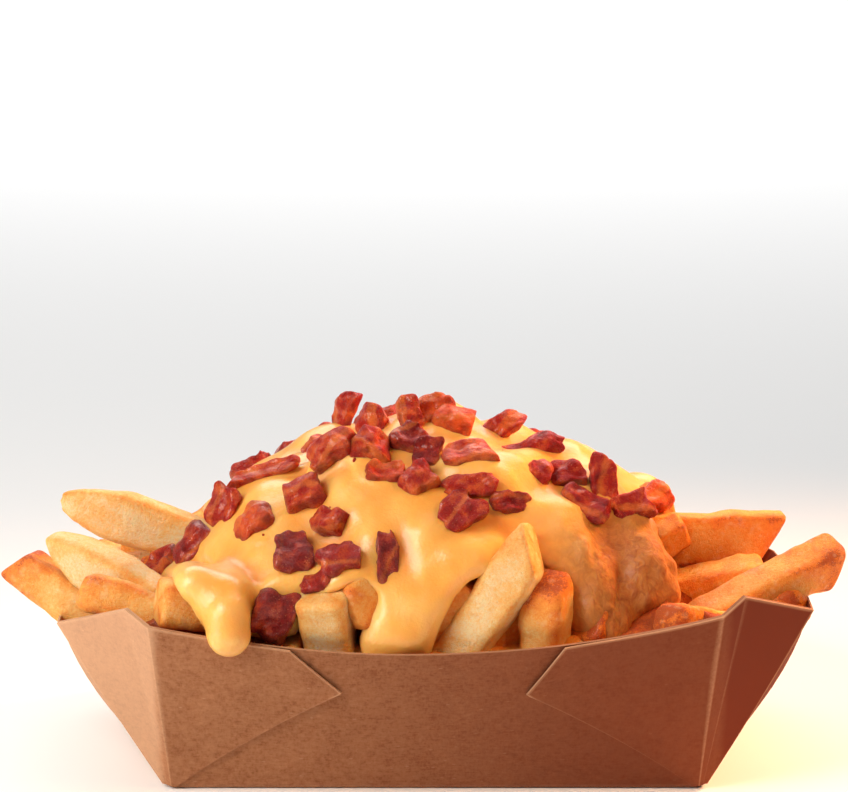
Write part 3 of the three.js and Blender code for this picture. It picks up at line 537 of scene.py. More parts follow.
@dataclass
class FoldedTray:
    """Boat tray folded from one sheet of board, with a glued wrap over each corner. Millimetres."""

    board: float = 0.6
    half_length: float = 77.0
    half_depth: float = 48.0
    corner: float = 2.0
    rim_corner: tuple[float, float] = (79.0, 65.0)
    rim_peak: tuple[float, float, float] = (85.5, 60.5, 59.3)
    rim_end: tuple[float, float, float] = (107.0, 44.0, 50.2)
    side_middle: float = 46.6
    side_corner: float = 55.2
    end_middle: float = 46.0
    lean: float = 0.018
    rear_drop: float = 0.17
    side_bulge: float = 3.4
    end_bulge: float = 4.6
    end_bow: float = 8.0
    rows: tuple[float, ...] = (0.0, 0.012, 0.03, 0.07, 0.14, 0.22, 0.3, 0.4, 0.5, 0.6, 0.7, 0.8, 0.88, 0.94, 0.98, 0.996, 1.0)
    flaps: dict = field(default_factory=lambda: {
        Hand.LEFT: {"rim": 40.0, "tip": 26.4, "height": 0.73}, Hand.RIGHT: {"rim": 35.6, "tip": 25.7, "height": 0.70}})

    def side_point(self, x: float, t: float) -> Points:
        """Return a point of the long wall on the near side, at a length along the rim and a share of its height."""
        share = 1 - (x / self.rim_corner[0]) ** 2
        foot = np.array([x * (self.half_length - self.corner) / self.rim_corner[0], -self.half_depth, 0.0])
        head = np.array([x, -self.rim_corner[1] - self.side_bulge * share, mix(self.side_corner, self.side_middle, share)])
        return mix(foot, head, t)

    def end_point(self, y: float, t: float) -> Points:
        """Return a point of the right end wall, at a share from -1 to 1 across it and a share of its height."""
        share = 1 - y * y
        foot = np.array([self.half_length, y * (self.half_depth - self.corner), 0.0])
        head = np.array([self.rim_end[0] + self.end_bulge * share / 2, y * self.rim_end[1],
                         mix(self.rim_end[2], self.end_middle, share)])
        bow = self.end_bow * (1 - abs(y) ** 3) * 4 * t * (1 - t)
        return mix(foot, head, t) + np.array([bow, 0, 0])

    def peak_point(self, t: float) -> Points:
        """Return a point of the crease that runs up to the near right corner's peak."""
        foot = np.array([self.half_length - self.corner / 2, -self.half_depth + self.corner / 2, 0.0])
        return mix(foot, np.array([self.rim_peak[0], -self.rim_peak[1], self.rim_peak[2]]), t)

    def quarter(self, t: float) -> list[tuple[Points, float]]:
        """Return half of one ring of the wall: the near side, its right corner, the right end and the corner behind.

        Args:
            t: Share of the wall's height.

        Returns:
            Points, each with 1 where a crease runs and 0 elsewhere.
        """
        near = self.rim_corner[0]
        along = [-near, -near + 0.45] + list(np.linspace(-near, near, 27)[1:-1]) + [near - 0.45, near]
        ring = [(self.side_point(x, t), 1.0 if abs(x) == near else 0.0) for x in along]
        front, peak, end = self.side_point(near, t), self.peak_point(t), self.end_point(-1.0, t)
        ring += [(mix(front, peak, s), 0.0) for s in (0.08, 0.5, 0.92)] + [(peak, 0.5)]
        ring += [(mix(peak, end, s), 0.0) for s in (0.05, 0.25, 0.5, 0.75, 0.96)]
        ring += [(self.end_point(y, t), 0.6 if abs(y) == 1 else 0.0) for y in (-1, -0.985, *np.linspace(-0.86, 0.86, 13), 0.985, 1)]
        back = end * (1, -1, 1)
        peak_back = peak * (1, -1, 1)
        front_back = front * (1, -1, 1)
        ring += [(mix(back, peak_back, s), 0.0) for s in (0.04, 0.25, 0.5, 0.75, 0.95)] + [(peak_back, 0.5)]
        ring += [(mix(peak_back, front_back, s), 0.0) for s in (0.08, 0.5, 0.92)]
        return ring

    def leaned(self, points: Points) -> Points:
        """Return points with the tray's slight rise towards the right and its lower far side."""
        lifted = points.copy()
        lifted[:, 2] *= 1 - self.rear_drop * smoothstep((points[:, 1] - 12) / 34)
        lifted[:, 2] += self.lean * points[:, 0] * np.clip(points[:, 2] / 50, 0, 1.2)
        return lifted

    def waved(self, points: Points) -> Points:
        """Return points with the board's slight unevenness."""
        moved = points.copy()
        free = np.clip(points[:, 2] / 12, 0, 1)
        side = np.sign(points[:, 1]) * (np.abs(points[:, 1]) > 46)
        moved[:, 1] += side * free * 0.45 * lattice_noise(points * (1, 0.2, 1), 34, 5)
        return moved

    def shell(self) -> Shape:
        """Return the base and walls as one board with its thickness."""
        loops = []
        for t in self.rows:
            half = self.quarter(t)
            turned = [(p * (-1, -1, 1), c) for p, c in half]
            loops.append(half + turned)
        grid = np.array([[p for p, _ in loop] for loop in loops])
        creases = np.array([[c for _, c in loop] for loop in loops])
        rows, cols = grid.shape[:2]
        along = np.roll(grid, -1, 1) - np.roll(grid, 1, 1)
        up = np.gradient(grid, axis=0)
        outward = normalise(np.cross(along, up))
        outer = grid.copy()
        inner = grid - outward * self.board
        outer[0] -= outward[0] * (1, 1, 0) * 0.5
        inner[0, :, 2] = self.board
        outer[0, :, 2] = 0.0
        outer[1, :, 2] = np.maximum(outer[1, :, 2], 0.3)
        inner[0] -= outward[0] * (1, 1, 0) * 0.3
        points = np.vstack([outer.reshape(-1, 3), inner.reshape(-1, 3), [[0, 0, 0], [0, 0, self.board]]])
        faces = ring_faces(rows, cols)
        faces += [face[::-1] for face in ring_faces(rows, cols, rows * cols)]
        top, half = (rows - 1) * cols, rows * cols
        for c in range(cols):
            n = (c + 1) % cols
            faces.append((top + c, top + n, half + top + n, half + top + c))
            faces.append((2 * half, n, c))
            faces.append((2 * half + 1, half + c, half + n))
        edge = np.zeros(len(points))
        edge[top:half] = 0.6
        edge[half + top:2 * half] = 0.6
        crease = np.concatenate([creases.ravel(), creases.ravel() * 0.5, [0, 0]])
        crease[:2 * cols] = 0.35
        return Shape(self.leaned(self.waved(points)), faces, {"edge": edge, "crease": crease})

    def wrap(self, side: int, hand: Hand) -> Shape:
        """Return the glued second layer over one corner.

        Args:
            side: 1 on the near side and -1 on the far side.
            hand: Which end of the tray.

        Returns:
            A thin closed sheet that lies on the wall, a little lifted along its slanted cut edge.
        """
        flap = self.flaps[hand]
        knee = flap["height"]
        ts = sorted({*np.linspace(0.02, knee, 15), *np.linspace(knee, 1.0, 9), knee - 0.012, 0.985})
        shares = [0, 0.02, 0.06, *np.linspace(0.14, 0.9, 8), 0.97, 1]
        layers = []
        marks = []
        for t in ts:
            corner = self.rim_corner[0]
            if t <= knee:
                reach = mix(corner, flap["tip"], t / knee)
            else:
                reach = mix(flap["tip"], flap["rim"], (t - knee) / (1 - knee))
            row, mark = [], []
            for s in shares:
                x = mix(reach, corner, s)
                free = (corner - x) / (corner - flap["tip"] + 1e-6)
                cut = math.exp(-(x - reach) / 7) * smoothstep(np.array((t - 0.45) / 0.4)).item()
                fold = math.exp(-(x - reach) / 4) * (t < knee)
                row.append((self.side_point(x, t), 0.1 + 0.75 * cut * free + 0.25 * fold * free))
                mark.append((1.0 if s == 0 and t >= knee - 0.013 else 0.25 if s == 0 else 0.0, 1.0 if s == 1 else 0.0))
            front, peak, end = self.side_point(corner, t), self.peak_point(t), self.end_point(-1.0, t)
            for a, b, steps in ((front, peak, (0.08, 0.5, 0.92, 1.0)), (peak, end, (0.05, 0.3, 0.6, 0.85, 0.96, 0.99))):
                for s in steps:
                    row.append((mix(a, b, s), 0.1 + (0.5 * s * s if a is peak else 0) * 4 * t * (1 - t)))
                    mark.append((1.0 if a is peak and s == 0.99 else 0.0, 0.4 if b is peak and s == 1.0 else 0.0))
            layers.append(row)
            marks.append(mark)
        grid = np.array([[p for p, _ in row] for row in layers])
        gap = np.array([[g for _, g in row] for row in layers])[..., None]
        along = np.gradient(grid, axis=1)
        up = np.gradient(grid, axis=0)
        outward = normalise(np.cross(along, up))
        inner, outer = grid + outward * gap, grid + outward * (gap + self.board * 0.9)
        rows, cols = grid.shape[:2]
        half = rows * cols
        faces = []
        for r in range(rows - 1):
            for c in range(cols - 1):
                a, b = r * cols + c, (r + 1) * cols + c
                faces.append((half + a, half + a + 1, half + b + 1, half + b))
                faces.append((a + 1, a, b, b + 1))
        edges = [c for c in range(cols)] + [r * cols + cols - 1 for r in range(1, rows)]
        edges += [(rows - 1) * cols + c for c in range(cols - 2, -1, -1)] + [r * cols for r in range(rows - 2, 0, -1)]
        for i, a in enumerate(edges):
            b = edges[(i + 1) % len(edges)]
            faces.append((a, b, half + b, half + a))
        points = np.vstack([inner.reshape(-1, 3), outer.reshape(-1, 3)])
        cut = np.array([[m[0] for m in row] for row in marks])
        cut[-1, :] = 1.0
        crease = np.array([[m[1] for m in row] for row in marks]).ravel()
        mirrored = points * (hand.value, side, 1)
        if hand.value * side < 0:
            faces = [face[::-1] for face in faces]
        return Shape(self.leaned(self.waved(mirrored)), faces,
                     {"edge": np.tile(cut.ravel(), 2), "crease": np.tile(crease, 2)})

    def make(self, finish: bpy.types.Material) -> bpy.types.Object:
        """Build the tray, dress it and tie it to the frame."""
        shape = self.shell()
        for side in (1, -1):
            for hand in Hand:
                shape = shape.joined(self.wrap(side, hand))
        tray = to_object(shape, "folded_board_tray", finish, sharp=28)
        settle(tray, "kraft_board", "tray")
        return tray

    def inside_gap(self, points: Points) -> Points:
        """Return how far points lie inside the walls, in millimetres, negative outside."""
        z = np.clip(points[:, 2], 0, None)
        x = points[:, 0]
        side = self.half_depth + (17 + 3.4 * np.clip(1 - (x / 79) ** 2, 0, 1)) * z / 50 - np.abs(points[:, 1])
        end = self.half_length + 30 * z / 50 + 2 - np.abs(x)
        corner = (self.half_length + self.half_depth - 2 + 44 * z / 50 - np.abs(x) - np.abs(points[:, 1])) * 0.72
        return np.minimum(np.minimum(side, end), corner) - self.board


# Fries

class TipCut(Enum):
    """How a fry's tip ends."""

    SQUARE = "square"
    ROUND = "round"
    POINT = "point"


@dataclass
class Fry:
    """One thick-cut fry from its root in the heap to its tip. Millimetres and degrees."""

    root: Sequence[float]
    tip: Sequence[float]
    width: float
    height: float
    roll: float
    cut: TipCut
    bend: float = 0.0
    coated: float = 0.0
    paired: bool = False
    seed: int = 0
    tone: float = 0.45
    crust: float = 0.5
    slant: float = 0.0

    def axes(self) -> tuple[Points, Points, Points, Points, float]:
        """Return the root, the direction, the side, the top and the length."""
        root, tip = np.array(self.root, float), np.array(self.tip, float)
        length = float(np.linalg.norm(tip - root))
        axis = (tip - root) / length
        level = normalise(np.cross((0, 0, 1), axis))
        rise = np.cross(axis, level)
        turn = math.radians(self.roll)
        side = level * math.cos(turn) + rise * math.sin(turn)
        return root, axis, side, np.cross(axis, side), length

    def distance(self, points: Points, radius: float) -> Points:
        """Return the distance of points from the fry as a box with rounded edges, over the share that is coated."""
        root, axis, side, top, length = self.axes()
        length *= self.coated or 1.0
        local = points - root
        out = np.stack([np.abs(local @ axis - length / 2) - length / 2, np.abs(local @ side) - self.width / 2,
                        np.abs(local @ top) - self.height / 2], axis=1) + radius
        return np.linalg.norm(np.maximum(out, 0), axis=1) + np.minimum(out.max(axis=1), 0) - radius

    def shape(self, around: int, along: int) -> Shape:
        """Return the fry's mesh.

        Args:
            around: Points round its section.
            along: Rings between its rounded ends.

        Returns:
            A closed shape with browning and tone at its points.
        """
        root, axis, side, top, length = self.axes()
        rng = np.random.default_rng(self.seed + 1)
        end = {TipCut.SQUARE: 1.8, TipCut.ROUND: 5.0, TipCut.POINT: 4.0}[self.cut]
        arcs = np.linspace(0, math.pi / 2, 6)
        start = [((1 - math.cos(a)) * 1.6, math.sin(a) * 0.3 + 0.7) for a in arcs]
        tail = [(length - (1 - math.cos(a)) * end, mix(0.55 if self.cut is TipCut.ROUND else 0.8, 1, math.sin(a))) for a in arcs[::-1]]
        middle = [(d, 1.0) for d in np.linspace(1.6, length - end, along)[1:-1]]
        stations = start + middle + tail
        squash = 4.6 if self.cut is not TipCut.ROUND else 3.6
        theta = np.linspace(0, 2 * math.pi, around, endpoint=False)
        ca, sa = np.cos(theta), np.sin(theta)
        section = np.stack([np.sign(ca) * np.abs(ca) ** (2 / squash), np.sign(sa) * np.abs(sa) ** (2 / squash)], axis=1)
        sway, twist = rng.uniform(-0.8, 0.8, 2), rng.uniform(-0.16, 0.16)
        rings = [0.0]
        rows, places = [], []
        for face_scale, d in [(0.25, 0.0), (0.62, 0.0)]:
            places.append((d, face_scale * 0.7))
        places += stations
        for face_scale in (0.72, 0.4, 0.12):
            places.append((length + (0.5 if self.cut is TipCut.SQUARE else 0.9) * (1 - face_scale) - 0.1,
                           face_scale * (0.55 if self.cut is TipCut.ROUND else 0.8)))
        for d, scale in places:
            u = d / length
            close = max(0.0, 1 - (length - d) / 17)
            taper = (1 - 0.45 * close ** 2, 1 - 0.62 * close ** 2) if self.cut is TipCut.POINT else (1.0, 1.0)
            lump = 1 + 0.035 * math.sin(u * 7 + self.seed) + 0.02 * math.sin(u * 17 + self.seed * 3)
            turn = twist * (u - 0.5)
            flat = section * (self.width / 2, self.height / 2) * scale * np.array(taper) * lump
            spun = flat @ np.array([[math.cos(turn), math.sin(turn)], [-math.sin(turn), math.cos(turn)]])
            bow = 4 * u * (1 - u)
            centre = root + axis * d + top * (self.bend * bow + sway[0] * math.sin(u * 5)) + side * sway[1] * bow
            reach = self.slant * float(smoothstep(np.array(1 - (length - d) / 14))) * spun[:, 1:]
            rows.append(centre + spun[:, :1] * side + spun[:, 1:] * top + reach * axis)
        grid = np.array(rows)
        count = len(rows)
        points = np.vstack([grid.reshape(-1, 3), grid[0].mean(0), grid[-1].mean(0)])
        faces = ring_faces(count, around)
        last = (count - 1) * around
        for c in range(around):
            n = (c + 1) % around
            faces.append((count * around, n, c))
            faces.append((count * around + 1, last + c, last + n))
        outward = np.vstack([normalise(grid - grid.mean(1, keepdims=True)).reshape(-1, 3), -axis, axis])
        bumps = (lattice_noise(points, 7, self.seed) * 0.4 + lattice_noise(points, 2.8, self.seed + 40) * 0.24
                 + lattice_noise(points, 1.3, self.seed + 80) * 0.1)
        points = points + outward * bumps[:, None]
        arris = (np.minimum(np.abs(section[:, 0]), np.abs(section[:, 1])) ** 3)[None, :]
        near_tip = np.exp(-np.array([max(length - d, 0) for d, _ in places]) / 6)[:, None]
        near_root = np.exp(-np.array([d for d, _ in places]) / 6)[:, None]
        brown = np.clip(arris * 0.6 + near_tip * self.crust + near_root * 0.4, 0, 1).ravel()
        brown = np.concatenate([brown, [0.4, self.crust * 0.8]])
        brown = np.clip(brown * (1 + 0.5 * lattice_noise(points, 5, self.seed + 9)), 0, 1)
        tone = np.full(len(points), self.tone)
        return Shape(points, faces, {"brown": brown, "tone": tone})


S, R, P = TipCut.SQUARE, TipCut.ROUND, TipCut.POINT
VISIBLE_FRIES = [
    Fry((-52, 0, 49), (-110.5, 5, 71), 11, 14.5, 8, P, 1.8, tone=0.12, crust=0.3, slant=0.35),
    Fry((-68, -38, 44), (-111, -22.5, 64), 11, 14.5, -6, P, 1.5, tone=0.08, crust=0.3, slant=0.8),
    Fry((-84, -32, 37), (-121, -20, 59), 11.5, 12, 10, S, -1, tone=0.55, crust=0.75, slant=-0.45),
    Fry((-64, -51, 46), (-100, -43, 57), 12, 12, 20, R, 1, tone=0.7, crust=0.25),
    Fry((-38, -44, 50), (-77, -56.5, 57.5), 13, 13, 0, S, 0, 0.84, paired=True, tone=0.6, crust=0.1),
    Fry((-60, 14, 44), (-95, 22, 49), 12, 12, 25, S),
    Fry((-26.5, -52, 30), (-31, -57.5, 62.5), 14.5, 15, 30, S, paired=True, tone=0.1, crust=0.25, slant=0.15),
    Fry((-31, -38, 54), (-16.5, -59.5, 59.5), 14, 14, 24, S, 0, 0.8, paired=True, tone=0.45, crust=0.4),
    Fry((0.5, -53.5, 34), (27.8, -53, 72.6), 12.5, 13.5, -24, S, 0, paired=True, tone=0.1, crust=0.35, slant=0.75),
    Fry((31, -53, 34), (31.5, -55.5, 64), 13, 12.5, -38, R, paired=True, tone=0.5, crust=1.0, slant=0.5),
    Fry((-8, -48, 34), (9.5, -50, 62), 12, 12, 0, S, paired=True, tone=0.75, crust=0.4),
    Fry((20, -46, 34), (20.5, -49, 58), 12, 12, 15, S, paired=True, tone=0.8, crust=0.5),
    Fry((54, -44, 40), (42, -53, 51), 12, 12, 15, S, tone=0.8, crust=0.6),
    Fry((84, -38, 42), (64, -56.5, 52.5), 12, 12, 12, R, paired=True, tone=0.7, crust=0.8),
    Fry((56, 0, 59), (100.5, 5, 58.5), 10, 15.5, -4, S, 1.2, tone=0.8, crust=0.35, slant=0.6),
    Fry((70, -34, 39), (115.5, -18.6, 59.4), 12.5, 12, 16, S, 1.5, tone=0.7, crust=0.9, slant=0.6),
    Fry((60, -14, 46), (97, -12, 50.5), 13, 14, 8, S, tone=0.8, crust=0.3),
    Fry((82, -14, 40), (105.5, -29.5, 49), 12, 11, 5, S, tone=0.8, crust=0.6),
    Fry((56, -6, 57), (74, -3, 64.5), 9, 9, 20, S, tone=0.6, crust=0.5),
    Fry((50, 4, 60), (67, 7, 72.5), 9, 9, 35, S, tone=0.6, crust=0.5),
    Fry((-64, -10, 46), (-87, -5, 52.5), 11, 11, 15, S, tone=0.6, crust=0.4),
    Fry((-72, 8, 40), (-103, 4, 46), 12, 11, 32, R),
    Fry((-54, 27, 50), (-88, 16, 52), 11, 12, 12, S, 1),
    Fry((66, 22, 44), (97, 22, 49), 12, 11, 40, S),
    Fry((74, -8, 38), (105, -6, 45.5), 12, 12, 10, S, tone=0.75, crust=0.5),
    Fry((56, 15, 50), (88, 27, 53), 11, 11, 25, R, 1),
    Fry((62, 40, 40), (97, 30, 46), 12, 12, 15, S, 1),
    Fry((70, 44, 42), (98, 40, 49), 12, 12, 30, R, 1),
    Fry((-64, 42, 40), (-98, 34, 46), 12, 12, 20, S, 1),
    Fry((-66, 46, 44), (-92, 42, 50), 11, 12, 35, S, 0),
    Fry((-66, -50, 41), (-37, -56, 41), 12, 12, 20, S, tone=0.7, crust=0.4),
    Fry((-35, -56, 38.5), (-4, -57, 38), 12, 12, 30, S, tone=0.75, crust=0.4),
    Fry((-2, -57, 38), (30, -56, 38.5), 12, 12, 15, S, tone=0.75, crust=0.4),
    Fry((34, -56, 40), (66, -50, 41.5), 12, 12, 25, S, tone=0.8, crust=0.4),
    Fry((-102, 22, 45), (-67, 46, 45), 13, 13, 20, S, tone=0.3, crust=0.5),
    Fry((-65, 52, 44.5), (-31, 56.5, 44), 13, 13, 35, R, tone=0.3, crust=0.4),
    Fry((-29, 57, 44), (5, 56.5, 44), 13, 13, 15, S, tone=0.4, crust=0.5),
    Fry((7, 57, 44), (43, 56, 44), 13, 13, 30, R, tone=0.3, crust=0.4),
    Fry((45, 55, 44.5), (80, 46, 45), 13, 13, 20, S, tone=0.5, crust=0.5),
    Fry((-97, 3, 46), (-60, 29, 48), 13, 13, 40, R, tone=0.3, crust=0.4),
    Fry((-56, 39, 48), (-20, 41, 50), 13, 13, 10, S, tone=0.3, crust=0.4),
    Fry((-16, 41, 49), (20, 42, 49), 13, 13, 45, S, tone=0.4, crust=0.4),
    Fry((24, 42, 49), (58, 38, 48), 13, 13, 20, R, tone=0.3, crust=0.4),
    Fry((60, 34, 48), (94, 20, 46), 13, 13, 35, S, tone=0.5, crust=0.5),
]


@dataclass
class FryHeap:
    """The fries: those that show, more that fill the gaps between them, and the mound that they make."""

    centre: tuple[float, float, float] = (-6.0, 0.0, 44.0)
    length_left: float = 80.0
    length_right: float = 98.0
    depth: float = 58.0
    height: float = 48.5
    plan: float = 2.2
    profile_left: float = 1.15
    profile_right: float = 1.25
    profile_across: float = 1.7
    sunk_count: int = 16
    fill_count: int = 130

    def __post_init__(self) -> None:
        """Lay out the fries that show, on both sides, and those that lie under the sauce."""
        behind = []
        for i, f in enumerate([f for f in VISIBLE_FRIES if f.paired]):
            size = mix(0.92, 1.06, draw(i, 1))

            def turned(p: Sequence[float], k: int, i: int = i) -> tuple[float, float, float]:
                """Return a place turned half way round the tray and moved a little."""
                return -p[0] + mix(-3, 3, draw(i, 2 + k)), -p[1], p[2] + mix(-0.5, 1, draw(i, 5 + k))
            behind.append(Fry(turned(f.root, 0), turned(f.tip, 0), f.width * size, f.height * size,
                              f.roll + mix(-20, 20, draw(i, 8)), f.cut, f.bend, f.coated, tone=draw(i, 9),
                              crust=f.crust, slant=f.slant))
        self.shown = VISIBLE_FRIES + behind
        for i, f in enumerate(self.shown):
            f.seed = i * 7 + 3
        self.sunk = [self.sunk_fry(i) for i in range(self.sunk_count)]

    def direction(self, azimuth: float, elevation: float) -> Points:
        """Return a direction out of the mound's centre, even round its length and depth."""
        flat = math.cos(elevation)
        length = self.length_right if math.cos(azimuth) > 0 else self.length_left
        return normalise(np.array([length * flat * math.cos(azimuth), self.depth * flat * math.sin(azimuth),
                                   self.height * math.sin(elevation)]))

    def azimuth(self, points: Points) -> Points:
        """Return the turn of points round the mound in degrees, even round its length and depth."""
        offset = points - np.array(self.centre)
        length = np.where(offset[..., 0] > 0, self.length_right, self.length_left)
        return np.degrees(np.arctan2(offset[..., 1] / self.depth, offset[..., 0] / length))

    def gauge(self, points: Points) -> Points:
        """Return 1 on the mound's surface, less inside it and more outside it."""
        offset = points - np.array(self.centre)
        across = np.abs(offset[..., 0]) / np.where(offset[..., 0] > 0, self.length_right, self.length_left)
        deep = np.abs(offset[..., 1]) / self.depth
        tall = np.abs(offset[..., 2]) / self.height
        sideways = deep ** 2 / (across ** 2 + deep ** 2 + 1e-9)
        along = np.where(offset[..., 0] > 0, self.profile_right, self.profile_left)
        profile = mix(along, self.profile_across, sideways)
        plan = (across ** self.plan + deep ** self.plan) ** (1 / self.plan)
        return (plan ** profile + tall ** profile) ** (1 / profile)

    def sunk_fry(self, i: int) -> Fry:
        """Return one of the long fries that shape the sauce from beneath."""
        azimuth = math.radians(360 * (i + 0.5 * draw(i, 11)) / self.sunk_count)
        d = self.direction(azimuth, math.radians(mix(26, 62, draw(i, 12))))
        centre = np.array(self.centre)
        middle = centre + d * (1 / self.gauge(centre + d) - 4.2)
        slope = np.array([math.sin(azimuth), -math.cos(azimuth), 0]) * mix(-1, 1, draw(i, 13))
        fall = np.array([math.cos(azimuth), math.sin(azimuth), -0.8]) * 0.8
        run = normalise(slope + fall) * 19
        return Fry(tuple(middle - run), tuple(middle + run), 11, 11, 45 * draw(i, 14), S, 0, 1.0, seed=500 + i)

    def mound_distance(self, points: Points) -> Points:
        """Return the distance of points from the mound, along the line to its centre."""
        gauge = np.maximum(self.gauge(points), 1e-6)
        return np.linalg.norm(points - np.array(self.centre), axis=-1) * (1 - 1 / gauge)

    def filler(self, tray: FoldedTray) -> list[Fry]:
        """Lay fries in the gaps between those that show, clear of them and of the tray.

        Args:
            tray: The tray that holds them.

        Returns:
            The fries that found a place.
        """
        rng = np.random.default_rng(11)
        shares = np.linspace(0.06, 0.94, 8)[:, None]
        taken = [np.array(f.root) + (np.array(f.tip) - np.array(f.root)) * shares for f in self.shown]
        placed: list[Fry] = []
        for attempt in range(9000):
            if len(placed) >= self.fill_count:
                break
            middle = np.array([rng.uniform(-100, 104), rng.uniform(-62, 62), rng.uniform(26, 60)])
            heading, tilt = rng.uniform(0, math.pi), math.radians(rng.uniform(-30, 34))
            run = np.array([math.cos(heading) * math.cos(tilt), math.sin(heading) * math.cos(tilt), math.sin(tilt)])
            length = rng.uniform(26, 58)
            line = middle + run * length * (shares - 0.5)
            depth = -self.mound_distance(line)
            shelf = 50 - line[:, 2]
            covered = np.maximum(depth, np.where(np.abs(line[:, 0]) > 62, shelf, -99))
            if covered.min() < 5.2 or covered.min() > 17 or tray.inside_gap(line).min() < 6.6 or line[:, 2].min() < 8:
                continue
            near = min(np.linalg.norm(line[:, None] - other[None], axis=2).min() for other in taken)
            if near < 9.8:
                continue
            taken.append(line)
            wide = rng.uniform(9.6, 11.4)
            cut = S if rng.uniform() < 0.7 else R
            placed.append(Fry(tuple(line[0]), tuple(line[-1]), wide, wide * rng.uniform(0.92, 1.08),
                              rng.uniform(0, 90), cut, rng.uniform(-1, 1), seed=900 + attempt, tone=rng.uniform(0.3, 1)))
        return placed

    def core(self) -> Shape:
        """Return the plain body under the fries, which stops the eye where no fry reaches."""
        rings, count = 18, 48
        rows = []
        for r in range(rings):
            elevation = math.radians(mix(-84, 84, r / (rings - 1)))
            row = []
            for c in range(count):
                d = self.direction(2 * math.pi * c / count, elevation)
                centre = np.array(self.centre)
                reach = 1 / self.gauge(centre + d) - 8.5
                row.append(centre + d * reach)
            rows.append(row)
        grid = np.array(rows)
        grid[..., 2] = np.where(grid[..., 2] < 44, 44 - (44 - grid[..., 2]) * 0.9, grid[..., 2])
        points = np.vstack([grid.reshape(-1, 3), grid[0].mean(0), grid[-1].mean(0)])
        faces = ring_faces(rings, count)
        last = (rings - 1) * count
        for c in range(count):
            n = (c + 1) % count
            faces += [(rings * count, n, c), (rings * count + 1, last + c, last + n)]
        points += normalise(points - np.array(self.centre)) * lattice_noise(points, 8, 3)[:, None] * 1.2
        values = {"brown": np.full(len(points), 0.55), "tone": np.full(len(points), 0.6)}
        return Shape(points, faces, values)

    def bed(self, tray: FoldedTray) -> Shape:
        """Return the low body that fills the tray beneath the fries."""
        rows = []
        for t, inset in ((0.02, 3.0), (0.3, 3.2), (0.6, 3.6), (0.84, 4.2), (0.9, 12.0), (0.91, 30.0)):
            ring = np.array([p for p, _ in tray.quarter(t)] + [p * (-1, -1, 1) for p, _ in tray.quarter(t)])
            shrink = 1 - inset / np.linalg.norm(ring[:, :2], axis=1)
            ring[:, :2] *= shrink[:, None]
            rows.append(ring + (0, 0, 1.2))
        grid = np.array(rows)
        count = grid.shape[1]
        points = np.vstack([grid.reshape(-1, 3), grid[0].mean(0), grid[-1].mean(0)])
        faces = ring_faces(len(rows), count)
        last = (len(rows) - 1) * count
        for c in range(count):
            n = (c + 1) % count
            faces += [(len(rows) * count, n, c), (len(rows) * count + 1, last + c, last + n)]
        return Shape(points, faces, {"brown": np.full(len(points), 0.5), "tone": np.full(len(points), 0.6)})

    def make(self, tray: FoldedTray, finish: bpy.types.Material, inner: bpy.types.Material) -> bpy.types.Object:
        """Build the fries, dress them and tie them to the frame.

        Args:
            tray: The tray that holds them.
            finish: The crust of the fries that show.
            inner: A darker copy of the crust, painted shade, for the bodies beneath them.

        Returns:
            The piece with the fries that show.
        """
        shown = to_object(join_all([f.shape(44, 42) for f in self.shown]), "thick_cut_fries", finish)
        settle(shown, "fried_potato", "fries")
        filling = self.filler(tray)
        fill = to_object(join_all([f.shape(22, 14) for f in filling]), "fries_between", finish)
        settle(fill, "fried_potato")
        core = to_object(self.core(), "heap_core", inner)
        settle(core, "fried_potato")
        bed = to_object(self.bed(tray), "heap_bed", inner)
        settle(bed, "fried_potato")
        return shown


# Bacon layout

@dataclass
class Bit:
    """One bacon bit: where it lies, its size, its turn in the sauce's surface and its tip out of it."""

    at: Sequence[float]
    size: Sequence[float]
    turn: float
    tip: float
    tone: float = 0.45
    fat: float = 0.3
    curl: float = 0.0
    behind: bool = False


